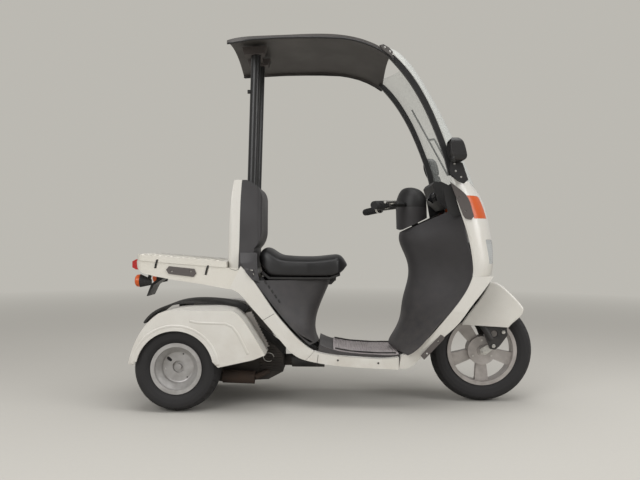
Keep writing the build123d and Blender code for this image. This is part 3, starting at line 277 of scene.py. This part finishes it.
def piece(name, points, faces, slot, body, smooth=True, finish=None, extra=()):
    """A mesh object made of the points and faces, its normals facing out, riding on a body.
    Its finish is its slot's own, unless another is named."""
    mesh = bpy.data.meshes.new(name)
    mesh.from_pydata(np.asarray(points, float).reshape(-1, 3).tolist(), [],
                     [list(f) for f in faces] + [list(f) for f in extra])
    work = bmesh.new()
    work.from_mesh(mesh)
    bmesh.ops.remove_doubles(work, verts=work.verts, dist=1e-6)
    bmesh.ops.recalc_face_normals(work, faces=work.faces)
    work.to_mesh(mesh)
    work.free()
    mesh.polygons.foreach_set("use_smooth", [smooth] * len(mesh.polygons))
    mesh.materials.append(finishes[finish or slot].material)
    made = bpy.data.objects.new(name, mesh)
    bpy.context.scene.collection.objects.link(made)
    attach(made, body)
    return made


def frames(directions, up=(0.0, 0.0, 1.0)):
    """Two unit vectors square to each direction, the second as near to up as it can be."""
    d = directions / np.linalg.norm(directions, axis=-1, keepdims=True)
    side = np.cross(d, np.asarray(up))
    side /= np.linalg.norm(side, axis=-1, keepdims=True)
    return side, np.cross(side, d)


def bar_along(path, radius, sides=12, flat=1.0):
    """A closed round bar. The point at angle t on ring i is
    path_i + radius (cos t side_i + flat sin t up_i)."""
    path = np.asarray(path, float)
    side, up = frames(np.gradient(path, axis=0), (0.02, 0.9, 0.3))
    t = np.linspace(0, 2 * np.pi, sides, endpoint=False)[None, :, None]
    path = np.concatenate([path[:1], path, path[-1:]])
    side, up = (np.concatenate([v[:1], v, v[-1:]]) for v in (side, up))
    grow = np.concatenate([[0.001], np.ones(len(path) - 2), [0.001]])[:, None, None]
    points = path[:, None] + grow * radius * (np.cos(t) * side[:, None] + flat * np.sin(t) * up[:, None])
    return points.reshape(-1, 3), grid_faces(len(path), sides, closed_columns=True)


def heads(places, axis, radius, height, sides=6):
    """Bolt heads: a profile of distance out and height, turned about the axis at each place."""
    axis = np.asarray(axis, float)
    side, up = frames(axis[None], (0.1, 0.3, 0.9))
    t = np.linspace(0, 2 * np.pi, sides, endpoint=False)[:, None]
    out = np.array([0.001, 1.0, 1.0, 0.86, 0.5, 0.45, 0.001]) * radius
    high = np.array([0.0, 0.0, 0.75, 0.95, 1.0, 0.7, 0.7]) * height
    ring = np.cos(t) * side + np.sin(t) * up
    one = out[:, None, None] * ring[None] + high[:, None, None] * axis
    places = np.asarray(places, float)
    points = places[:, None, None, :] + one[None]
    faces = grid_faces(len(out), sides, closed_columns=True)
    step = len(out) * sides
    all_faces = (faces[None] + step * np.arange(len(places))[:, None, None]).reshape(-1, 4)
    return points.reshape(-1, 3), all_faces


def plate(outline, y0, y1, inset=0.0012):
    """A flat plate from an (x, z) outline between two y values, its outer rim bevelled by the inset."""
    outline = np.asarray(outline, float)
    middle = outline.mean(axis=0)
    small = outline + (middle - outline) / np.linalg.norm(middle - outline, axis=1, keepdims=True) * inset
    step = math.copysign(min(inset, abs(y1 - y0) / 2), y1 - y0)
    rings = [(outline, y0), (outline, y1 - step), (small, y1)]
    points = np.concatenate([np.column_stack([o[:, 0], np.full(len(o), y), o[:, 1]]) for o, y in rings])
    n = len(outline)
    return points, grid_faces(3, n, closed_columns=True), [range(n), range(2 * n, 3 * n)]


def along(a, b, count):
    """Evenly spaced points from a to b."""
    return np.linspace(np.asarray(a, float), np.asarray(b, float), count)


# Soft and rubber pieces

def seat():
    """The padded seat. Across, each section is a rounded box: y = w |cos t|^(2/n) and
    z = middle + h |sin t|^(2/n), with its top crowned by c (1 - (y/w)^2). Along, the top follows the
    seat's line, and both ends close in a round."""
    x_line = np.array([-353, -345, -324, -300, -277, -247, -171, -84, -8, 24, 46, 64]) / 1000
    top_line = np.array([690, 717, 729, 727, 709, 690, 684, 684, 693, 697, 685, 655]) / 1000
    low_line = np.array([664, 640, 623, 594, 590, 589, 589, 589, 591, 598, 612, 632]) / 1000
    rows, around = 90, 64
    s = 0.5 - 0.5 * np.cos(np.linspace(0, np.pi, rows))
    x = -0.353 + s * 0.417
    top = np.interp(x, x_line, top_line) - 0.001
    low = np.interp(x, x_line, low_line) + 0.001
    soft = np.convolve(np.pad(top, 3, "edge"), np.ones(7) / 7, "valid")
    width = np.interp(x, [-0.353, -0.12, 0.02, 0.064], [0.148, 0.148, 0.116, 0.078])
    close = (1 - (2 * s - 1) ** 10) ** 0.35
    middle, half = (soft + low) / 2, (soft - low) / 2 * np.maximum(close, 0.02)
    width = width * np.maximum(close, 0.15)
    t = np.linspace(0, 2 * np.pi, around, endpoint=False)
    c, v = np.cos(t), np.sin(t)
    power = np.where(v > 0, 2 / 3.6, 2 / 9)
    y = np.sign(c) * np.abs(c) ** power * width[:, None]
    lift = np.sign(v) * np.abs(v) ** power
    crown = np.where(v > 0, 0.007 * (1 - (y / width[:, None]) ** 2) - 0.007, 0)
    z = middle[:, None] + half[:, None] * lift + crown * close[:, None]
    seam = np.exp(-((lift - 0.35) / 0.05) ** 2) * 0.0025
    y = y * (1 - seam / 0.14)
    points = np.stack([np.broadcast_to(x[:, None], y.shape), y, z], axis=-1)
    ends = [range(around), range((rows - 1) * around, rows * around)]
    made = piece("seat_padding", points, grid_faces(rows, around, closed_columns=True), "vinyl", "seat",
                 extra=ends)
    smooth_over(made, 1)
    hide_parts("seat_cushion")


def smooth_over(made, levels):
    """Subdivision, with as many levels in the viewport as in the render."""
    rounding = made.modifiers.new("rounding", "SUBSURF")
    rounding.levels = rounding.render_levels = levels


def tyre(name, node, body, x, y, z, radius, width, rim_r, rim_half, blocks):
    """A tyre turned about its axle: distance from the axle = profile(v) - depth(u, v) on the tread.
    The tread has two straight channels and slanted sipes, each a narrow smooth dip."""
    bead, inner, wall, half = rim_r - 0.0125, rim_half - 0.0055, radius - rim_r, width / 2
    side = [(inner, bead), (inner, rim_r + 0.001), (half - 0.004, rim_r + 0.25 * wall),
            (half - 0.0005, rim_r + 0.5 * wall), (half - 0.003, rim_r + 0.72 * wall),
            (0.64 * half, radius - 0.045 * radius), (0.3 * half, radius - 0.01 * radius)]
    line = np.array(side + [(0.0, radius - 0.0005)] + [(-a, b) for a, b in reversed(side)])
    run = np.concatenate([[0], np.cumsum(np.hypot(*np.diff(line, axis=0).T))])
    v = np.linspace(0, run[-1], 72)
    across, reach = np.interp(v, run, line[:, 0]), np.interp(v, run, line[:, 1])
    turn = np.linspace(0, 2 * np.pi, 600, endpoint=False)[:, None]
    tread = np.clip((reach - (radius - 0.30 * wall)) / (0.05 * wall), 0, 1)[None, :]
    channel = np.exp(-((np.abs(across) - 0.27 * half) / 0.0022) ** 2)[None, :]
    slant = np.cos(blocks * (turn + 0.9 * np.abs(across)[None, :] / half * 0.12 * np.sign(across)[None, :]))
    sipe = np.clip((slant - 0.93) / 0.05, 0, 1) * (np.abs(across) > 0.3 * half)[None, :]
    depth = TREAD_DEPTH * tread * np.clip(channel + sipe, 0, 1)
    ridge = 0.0006 * np.exp(-((reach - (rim_r + 0.36 * wall)) / 0.0018) ** 2)[None, :]
    far = reach[None, :] - depth
    points = np.stack([x + far * np.cos(turn), y + across[None, :] * (1 + ridge) + 0 * turn,
                       z + far * np.sin(turn)], axis=-1)
    made = piece(name, points, grid_faces(600, 72, closed_rows=True, closed_columns=True), "tyre", body)
    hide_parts(node)


def tyres():
    tyre("front_tyre_tread", "front_tyre", "front_wheel", x=FRONT_AXLE_X, y=0.0, z=FRONT_AXLE_Z,
         radius=FRONT_TYRE_R, width=0.092, rim_r=0.164, rim_half=0.037, blocks=44)
    for side, name in SIDES:
        tyre(f"rear_tyre_{name}_tread", f"rear_tyre_{name}", f"rear_wheel_{name}", x=REAR_AXLE_X,
             y=side * REAR_WHEEL_Y, z=REAR_AXLE_Z, radius=REAR_TYRE_R, width=0.130, rim_r=0.1125,
             rim_half=0.053, blocks=34)


# Panels, ribs and fittings

def ribs(name, xs, zs, half, width, height, slot):
    """Low transverse ribs: each is half a round, z = base + height sin t, drawn across the width."""
    t = np.linspace(0, np.pi, 7)
    across = np.array([-half, -half + 0.004, half - 0.004, half])
    grow = np.array([0.02, 1.0, 1.0, 0.02])
    xs, zs = np.asarray(xs, float), np.asarray(zs, float)
    x = xs[:, None, None] + width / 2 * np.cos(t)[None, None, :] + 0 * across[None, :, None]
    z = zs[:, None, None] + height * np.sin(t)[None, None, :] * grow[None, :, None] - 0.0004
    y = np.broadcast_to(across[None, :, None], x.shape)
    faces = grid_faces(4, 7, closed_columns=True)
    all_faces = (faces[None] + 28 * np.arange(len(xs))[:, None, None]).reshape(-1, 4)
    caps = [range(28 * k + 7 * e, 28 * k + 7 * e + 7) for k in range(len(xs)) for e in (0, 3)]
    return piece(name, np.stack([x, y, z], axis=-1), all_faces, slot, "body", extra=caps)


def deck_height(x):
    """The deck falls evenly toward the front."""
    return DECK_REAR_Z - DECK_SLOPE * (x - DECK_REAR_X)


def deck_and_mat():
    xs = np.arange(-0.868, -0.505, 0.026)
    ribs("deck_ribs", xs, deck_height(xs), half=0.186, width=0.012, height=0.0040, slot="deck_white")
    xs = np.arange(0.008, 0.292, 0.0125)
    top = np.interp(xs, [0, 0.082, 0.199, 0.296], [0.264, 0.250, 0.243, 0.244]) + 0.0037
    ribs("mat_ribs", xs, top, half=0.158, width=0.007, height=0.0022, slot="mat")
    for side in (-1, 1):
        edge = [(x, side * 0.169, z + 0.0015) for x, z in zip(xs, top)]
        points, faces = bar_along(edge, 0.0055, 10, 0.5)
        piece(f"mat_border_{'left' if side > 0 else 'right'}", points, faces, "black_plastic", "body")


def hooks():
    for side, name in SIDES:
        for k, ((x0, z0), (x1, z1)) in enumerate(HOOK_ENDS):
            t = np.linspace(0, 1, 15)
            bow = np.sin(t * np.pi) ** 0.4
            x, z = x0 + (x1 - x0) * t, z0 + 0.003 - (z0 - z1 + 0.002) * t
            path = np.column_stack([x - 0.002 * bow, side * (0.197 + 0.0065 * bow), z])
            points, faces = bar_along(path, 0.0034, 10)
            piece(f"load_hook_{name}_{k + 1}", points, faces, "black_steel", "body")


def louvres():
    """The grey guard ahead of each rear fender, its front edge cut into steps."""
    front = along((-0.372, 0.431), (-0.291, 0.275), 25)
    saw = np.where(np.arange(25) % 2 == 0, 0.0, -0.006)
    normal = np.array([0.887, 0.461])
    outline = np.concatenate([[(-0.401, 0.424)], front + saw[:, None] * normal,
                              [(-0.318, 0.258), (-0.36, 0.300), (-0.41, 0.380)]])
    for side, name in SIDES:
        points, faces, caps = plate(outline, side * 0.1575, side * 0.150)
        piece(f"louvre_guard_{name}", points, faces, "roof_grey", "rear_unit", smooth=False,
              finish="louvre_grey", extra=caps)


def screws():
    lists = {
        "mount_screws": ("body", [(0.548, 0.3, 1.036), (0.524, 0.3, 1.062), (0.518, 0.3, 1.094)], 0.0042,
                         0.0022, 12, "bright_steel"),
        "fork_bolts": ("steering", [(0.794, 0.079, 0.336), (0.748, 0.079, 0.271)], 0.0095, 0.0065, 6,
                       "bright_steel"),
        "axle_nuts": ("steering", [(FRONT_AXLE_X, 0.0747, FRONT_AXLE_Z)], 0.0105, 0.007, 6, "bright_steel"),
        "cowl_rivets": ("body", [(0.2, 0.226, 0.213), (0.02, 0.226, 0.224)], 0.0045, 0.0015, 14,
                        "black_plastic"),
    }
    for name, (body, places, radius, height, sides, slot) in lists.items():
        for side, hand in SIDES:
            spots = [(x, side * y, z) for x, y, z in places]
            points, faces = heads(spots, (0, side, 0), radius, height, sides)
            piece(f"{name}_{hand}", points, faces, slot, body, smooth=False)
    turn = np.radians([90, 210, 330])
    for side, hand in SIDES:
        spots = [(FRONT_AXLE_X + 0.05 * math.cos(a), side * (0.034 if side < 0 else 0.030),
                  FRONT_AXLE_Z + 0.05 * math.sin(a)) for a in turn]
        points, faces = heads(spots, (0, side, 0), 0.005, 0.0025, 12)
        piece(f"hub_screws_{hand}", points, faces, "bright_steel", "front_wheel", smooth=False)


def mirror_glass():
    """A flat sheet of silvered glass lying in each mirror's recess, facing the rider."""
    for side, name in SIDES:
        low, high = np.array([0.5055, 1.109]), np.array([0.4955, 1.185])
        turn = np.linspace(0, 2 * np.pi, 40, endpoint=False)
        c, s = np.cos(turn), np.sin(turn)
        y = side * (0.340 + 0.043 * np.sign(c) * np.abs(c) ** 0.45)
        up = 0.5 + 0.49 * np.sign(s) * np.abs(s) ** 0.45
        x, z = low[0] + (high[0] - low[0]) * up, low[1] + (high[1] - low[1]) * up
        rings = np.stack([np.column_stack([x + d, y, z]) for d in (0.0, 0.002)])
        piece(f"mirror_glass_{name}", rings, grid_faces(2, 40, closed_columns=True), "reflector", "body",
              smooth=False, finish="silvered_glass", extra=[range(40), range(40, 80)])


def grip_ribs():
    """Raised rings round each grip, and the small yellow tab at its inner end."""
    for side, name in SIDES:
        end = np.array(GRIP_END) * (1, side, 1)
        d = np.array(GRIP_DIRECTION) * (1, side, 1)
        d /= np.linalg.norm(d)
        spot = end[None] - d[None] * np.arange(0.014, 0.112, 0.0075)[:, None]
        u, v = (w[0] for w in frames(d[None]))
        t = np.linspace(0, 2 * np.pi, 24, endpoint=False)
        k = np.linspace(0, 2 * np.pi, 6, endpoint=False)
        ring = np.cos(t)[:, None] * u + np.sin(t)[:, None] * v
        one = ring[:, None] * (0.0170 + 0.0014 * np.cos(k))[None, :, None] + d * (0.0018 * np.sin(k))[None,
                                                                                                      :, None]
        points = spot[:, None, None] + one[None]
        faces = grid_faces(24, 6, closed_rows=True, closed_columns=True)
        all_faces = (faces[None] + 144 * np.arange(len(spot))[:, None, None]).reshape(-1, 4)
        piece(f"grip_rings_{name}", points, all_faces, "grip_rubber", "steering")
        tab = end - d * 0.124
        path = tab[None] + np.outer(np.linspace(-0.004, 0.004, 5), d) + u * 0.0185
        points, faces = bar_along(path, 0.0045, 10)
        piece(f"switch_tab_{name}", points, faces, "orange_lens", "steering", finish="yellow_tab")


def instruments():
    """A round meter with a raised bezel, standing in the dash and facing the rider."""
    centre, face = np.array([0.478, 0.0, 0.985]), np.array([-0.83, 0.0, 0.56])
    u, v = (w[0] for w in frames(face[None]))
    t = np.linspace(0, 2 * np.pi, 48, endpoint=False)
    ring = np.cos(t)[:, None] * u + np.sin(t)[:, None] * v
    out = np.array([0.001, 0.034, 0.036, 0.040, 0.043, 0.043])
    high = np.array([0.004, 0.004, 0.009, 0.010, 0.006, -0.02])
    points = centre + out[:, None, None] * ring[None] + high[:, None, None] * face
    piece("meter_dial", points, grid_faces(6, 48, closed_columns=True), "black_plastic", "body",
          finish="meter_black", extra=[range(240, 288)])


def roof_trim():
    """A dark bead along each side of the roof and the clip panel at its front corner, with two screws."""
    x = np.array([-0.472, -0.37, -0.26, -0.155, -0.06, 0.03, 0.08, 0.13, 0.175, 0.216, 0.248])
    z = np.array([1.6305, 1.6425, 1.6495, 1.652, 1.652, 1.649, 1.641, 1.628, 1.610, 1.588, 1.565]) - 0.014
    y = np.array([0.2905, 0.3075, 0.3098, 0.3103, 0.3103, 0.3103, 0.309, 0.3063, 0.303, 0.300, 0.2922])
    s = np.linspace(0, 1, 80)
    knot = np.linspace(0, 1, len(x))
    for side, name in SIDES:
        path = np.column_stack([np.interp(s, knot, x), side * np.interp(s, knot, y), np.interp(s, knot, z)])
        points, faces = bar_along(path, 0.0042, 10, 1.4)
        piece(f"roof_bead_{name}", points, faces, "black_plastic", "body")
        outline = [(0.190, 1.607), (0.206, 1.612), (0.232, 1.597), (0.249, 1.578), (0.243, 1.556),
                   (0.229, 1.567), (0.206, 1.583)]
        points, faces, caps = plate(outline, side * 0.298, side * 0.3085, 0.003)
        piece(f"roof_clip_{name}", points, faces, "roof_grey", "body", smooth=False, extra=caps)
        points, faces = heads([(0.213, side * 0.3083, 1.596), (0.236, side * 0.3083, 1.578)], (0, side, 0),
                              0.0045, 0.002, 12)
        piece(f"roof_clip_screws_{name}", points, faces, "bright_steel", "body", smooth=False)


bpy.context.view_layer.update()
skins = {}


def surface(node, x, z, side):
    """How far out from the middle plane a node's surface lies at (x, z), seen from one side."""
    if node not in skins:
        thing = frame["nodes"][node]
        corners = [thing.matrix_world @ vertex.co for vertex in thing.data.vertices]
        skins[node] = BVHTree.FromPolygons(corners, [tuple(face.vertices) for face in thing.data.polygons])
    spot = skins[node].ray_cast(Vector((x, side, z)), Vector((0, -side, 0)))[0]
    return abs(spot.y) if spot else math.nan


def draped(node, line, side, count=32, lift=0.0):
    """Points along an (x, z) line laid on the side of a node, each held off its surface by the lift."""
    line = np.asarray(line, float)
    run = np.concatenate([[0], np.cumsum(np.hypot(*np.diff(line, axis=0).T))])
    s = np.linspace(0, run[-1], count)
    x, z = np.interp(s, run, line[:, 0]), np.interp(s, run, line[:, 1])
    y = np.array([surface(node, a, b, side) for a, b in zip(x, z)])
    known = ~np.isnan(y)
    if not known.any():
        raise ValueError(f"no surface of {node} under the line from {line[0]} to {line[-1]}")
    return np.column_stack([x, side * (np.interp(s, s[known], y[known]) + lift), z])


def seams():
    """Fine dark joints between the mouldings of the side panels and the column."""
    lines = {
        "panel_seam": ("rear_panels", [(-0.3194, 0.3969), (-0.2657, 0.4285)]),
        "column_seam": ("deck_body", [(-0.470, 0.628), (-0.4427, 0.6200), (-0.425, 0.628)]),
        "skirt_seam": ("floor_skirts", [(-0.075, 0.196), (-0.068, 0.248)]),
    }
    for name, (node, line) in lines.items():
        for side, hand in SIDES:
            points, faces = bar_along(draped(node, line, side), 0.0009, 8)
            piece(f"{name}_{hand}", points, faces, "black_plastic", "body")


def vents():
    """Five slanted slots in the side of the seat box, each a shallow dark inlay with round ends."""
    slant = np.array([0.45, -0.89])
    for side, hand in SIDES:
        for k, (x, z) in enumerate(along((-0.311, 0.565), (-0.249, 0.480), 5)):
            line = np.array([x, z]) + np.outer(np.linspace(-0.008, 0.008, 5), slant)
            points, faces = bar_along(draped("seat_box", line, side, 14, 0.0008), 0.0062, 12, 0.3)
            piece(f"seat_box_vent_{hand}_{k + 1}", points, faces, "black_plastic", "body")


def column_fairing():
    """The dark moulding that carries the column down onto the seat box: a sheet ruled between its rear
    and front edges, its surface pushed outward in the middle by 3 mm sin(pi u)."""
    rear = np.array([(-0.430, 0.700, 0.1662), (-0.421, 0.655, 0.2036), (-0.394, 0.610, 0.2085),
                     (-0.366, 0.578, 0.2125)])
    front = np.array([(-0.350, 0.700, 0.1662), (-0.348, 0.655, 0.178), (-0.345, 0.610, 0.184),
                      (-0.335, 0.566, 0.1845)])
    s, knot, u = np.linspace(0, 3, 24), np.arange(4), np.linspace(0, 1, 12)
    a, b = (np.column_stack([np.interp(s, knot, edge[:, k]) for k in range(3)]) for edge in (rear, front))
    outer = a[:, None] * (1 - u)[None, :, None] + b[:, None] * u[None, :, None]
    for side, hand in SIDES:
        sheet = outer[..., [0, 2, 1]] * (1, side,
                                         1) + np.array([0, side, 0]) * (0.003 * np.sin(np.pi * u))[None, :,
                                                                                                   None]
        under = [[max(np.nan_to_num(surface(node, x, z, side)) for node in ("rear_panels", "deck_body",
                                                                            "seat_box"))
                  for x, _, z in row] for row in sheet]
        sheet[..., 1] = side * np.maximum(np.abs(sheet[..., 1]), np.array(under) + 0.0045)
        rings = np.stack([sheet, sheet - np.array([0, side * 0.004, 0])])
        front_faces, n = grid_faces(24, 12), 24 * 12
        rim = np.concatenate([np.arange(12), np.arange(1, 24) * 12 + 11, 276 + np.arange(10, -1, -1),
                              np.arange(22, 0, -1) * 12])
        walls = np.stack([rim, np.roll(rim, -1), np.roll(rim, -1) + n, rim + n], axis=1)
        points = np.concatenate([rings[0].reshape(-1, 3), rings[1].reshape(-1, 3)])
        piece(f"column_fairing_{hand}", points, np.concatenate([front_faces, front_faces + n, walls]),
              "dark_grey", "body", smooth=False)


def fender_rolls():
    """The rolled edge of each rear wheel arch and the crease above it, as low half-buried beads."""
    turn = np.radians(np.linspace(7, 173, 60))
    arch = np.column_stack([REAR_AXLE_X + ARCH_ROLL_R * np.cos(turn),
                            REAR_AXLE_Z + ARCH_ROLL_R * np.sin(turn)])
    crease = [(-0.626, 0.402), (-0.588, 0.394), (-0.470, 0.391), (-0.440, 0.378), (-0.4174, 0.3495),
              (-0.372, 0.262)]
    for side, hand in SIDES:
        for name, line, radius in (("arch_roll", arch, 0.010), ("fender_crease", crease, 0.007)):
            points, faces = bar_along(draped("rear_fenders", line, side, 90, -0.0006), radius, 16, 0.32)
            piece(f"{name}_{hand}", points, faces, "white", "rear_unit")


def engine_details():
    """Cooling fins along each side of the block, and the short loop of cable ahead of the right fender."""
    for side, hand in SIDES:
        grid = np.linspace(-0.345, -0.175, 60)
        strips = []
        for z in np.arange(0.150, 0.318, 0.012):
            y = np.array([surface("engine", x, z, side) for x in grid])
            inside = grid[np.nan_to_num(y) > 0.1]
            if len(inside) > 8:
                strips.append([(inside[1], z), (inside[-2], z)])
        for k, line in enumerate(strips):
            points, faces = bar_along(draped("engine", line, side, 12), 0.0032, 8, 0.9)
            piece(f"engine_fin_{hand}_{k + 1}", points, faces, "engine_metal", "rear_unit")
    t = np.linspace(0, 5.4, 30)
    loop = np.column_stack([-0.300 + 0.024 * np.cos(t), 0.215 + 0.020 * np.sin(t)])
    points, faces = bar_along(draped("engine", loop, -1, 30, 0.0018), 0.0018, 10)
    piece("bay_cable", points, faces, "bright_steel", "rear_unit")


def cowl_linings():
    """The dark inner side of the cowl behind each bracket plate."""
    outline = [(0.480, 0.990), (0.512, 1.012), (0.545, 0.985), (0.575, 0.930), (0.582, 0.880),
               (0.530, 0.868), (0.500, 0.880)]
    for side, hand in SIDES:
        points, faces, caps = plate(outline, side * 0.256, side * 0.250)
        piece(f"cowl_lining_{hand}", points, faces, "black_plastic", "body", smooth=False, extra=caps)


def dress():
    seams()
    vents()
    column_fairing()
    fender_rolls()
    engine_details()
    cowl_linings()
    seat()
    tyres()
    deck_and_mat()
    hooks()
    louvres()
    screws()
    mirror_glass()
    grip_ribs()
    instruments()
    roof_trim()


# Studio

BACKDROP = (0.50, 0.485, 0.445)


def floor_and_backdrop():
    """One wide level floor. To the camera, it fades with distance into the colour of the world behind."""
    half = 80.0
    mesh = bpy.data.meshes.new("studio_floor")
    mesh.from_pydata([(-half, -half, 0), (half, -half, 0), (half, half, 0), (-half, half, 0)], [],
                     [(0, 1, 2, 3)])
    floor = bpy.data.objects.new("studio_floor", mesh)
    bpy.context.scene.collection.objects.link(floor)
    pale = (0.52, 0.505, 0.47)
    paint = Finish("pale_studio_floor", pale, 0.9, Emission_Strength=1.0, Specular_IOR_Level=0.0)
    reach = paint.node("ShaderNodeVectorMath", {"operation": "LENGTH"}, {0: paint.at()}, out=1).clamp(2.2,
                                                                                                      8.0)
    faded = reach * paint.node("ShaderNodeLightPath", out=0)
    speckle = paint.mix(paint.noise(60.0, 3.0) * 0.15, pale, (0.40, 0.385, 0.35))
    paint.feed("Base Color", paint.mix(faded, speckle, (0, 0, 0)))
    paint.feed("Emission Color", paint.mix(faded, (0, 0, 0), BACKDROP))
    mesh.materials.append(paint.material)


def soft_light(name, place, aim, size, power):
    lamp = bpy.data.lights.new(name, "AREA")
    lamp.shape, lamp.size, lamp.energy = "SQUARE", size, power
    holder = bpy.data.objects.new(name, lamp)
    holder.location = place
    holder.rotation_euler = (Vector(aim) - Vector(place)).to_track_quat("-Z", "Y").to_euler()
    bpy.context.scene.collection.objects.link(holder)


def camera():
    """The photograph's view: level, about three metres off the right-hand side."""
    data = bpy.data.cameras.new("photo_camera")
    holder = bpy.data.objects.new("photo_camera", data)
    bpy.context.scene.collection.objects.link(holder)
    yaw, pitch, roll, focal = math.radians(-0.66), math.radians(0.36), math.radians(0.38), 642.7
    right = Vector((math.cos(yaw), -math.sin(yaw), 0))
    ahead = Vector((math.sin(yaw) * math.cos(pitch), math.cos(yaw) * math.cos(pitch), math.sin(pitch)))
    over = right.cross(ahead)
    x_axis = right * math.cos(roll) + over * math.sin(roll)
    y_axis = over * math.cos(roll) - right * math.sin(roll)
    turn = Matrix((x_axis, y_axis, -ahead)).transposed()
    holder.matrix_world = Matrix.Translation((-0.0303, -3.0924, 0.7414)) @ turn.to_4x4()
    data.sensor_width = 36.0
    data.lens = focal / 640 * data.sensor_width
    bpy.context.scene.camera = holder


def studio():
    floor_and_backdrop()
    soft_light("overhead_softbox", (0.2, -0.6, 4.2), (0, 0, 0.6), 3.5, 110)
    soft_light("camera_side_softbox", (-2.4, -4.0, 2.6), (0, 0, 0.7), 2.5, 95)
    soft_light("front_softbox", (3.8, -2.0, 2.2), (0.3, 0, 0.7), 2.0, 60)
    world = bpy.data.worlds.new("studio_world")
    bpy.context.scene.world = world
    world.use_nodes = True
    graph = Graph(world.node_tree)
    shade = graph.mix(graph.node("ShaderNodeLightPath", out=0), (0.42, 0.412, 0.40), BACKDROP)
    background = world.node_tree.nodes["Background"]
    graph.tree.links.new(shade.socket, background.inputs["Color"])
    bpy.context.scene.view_settings.view_transform = "Standard"
    camera()


dress()
studio()
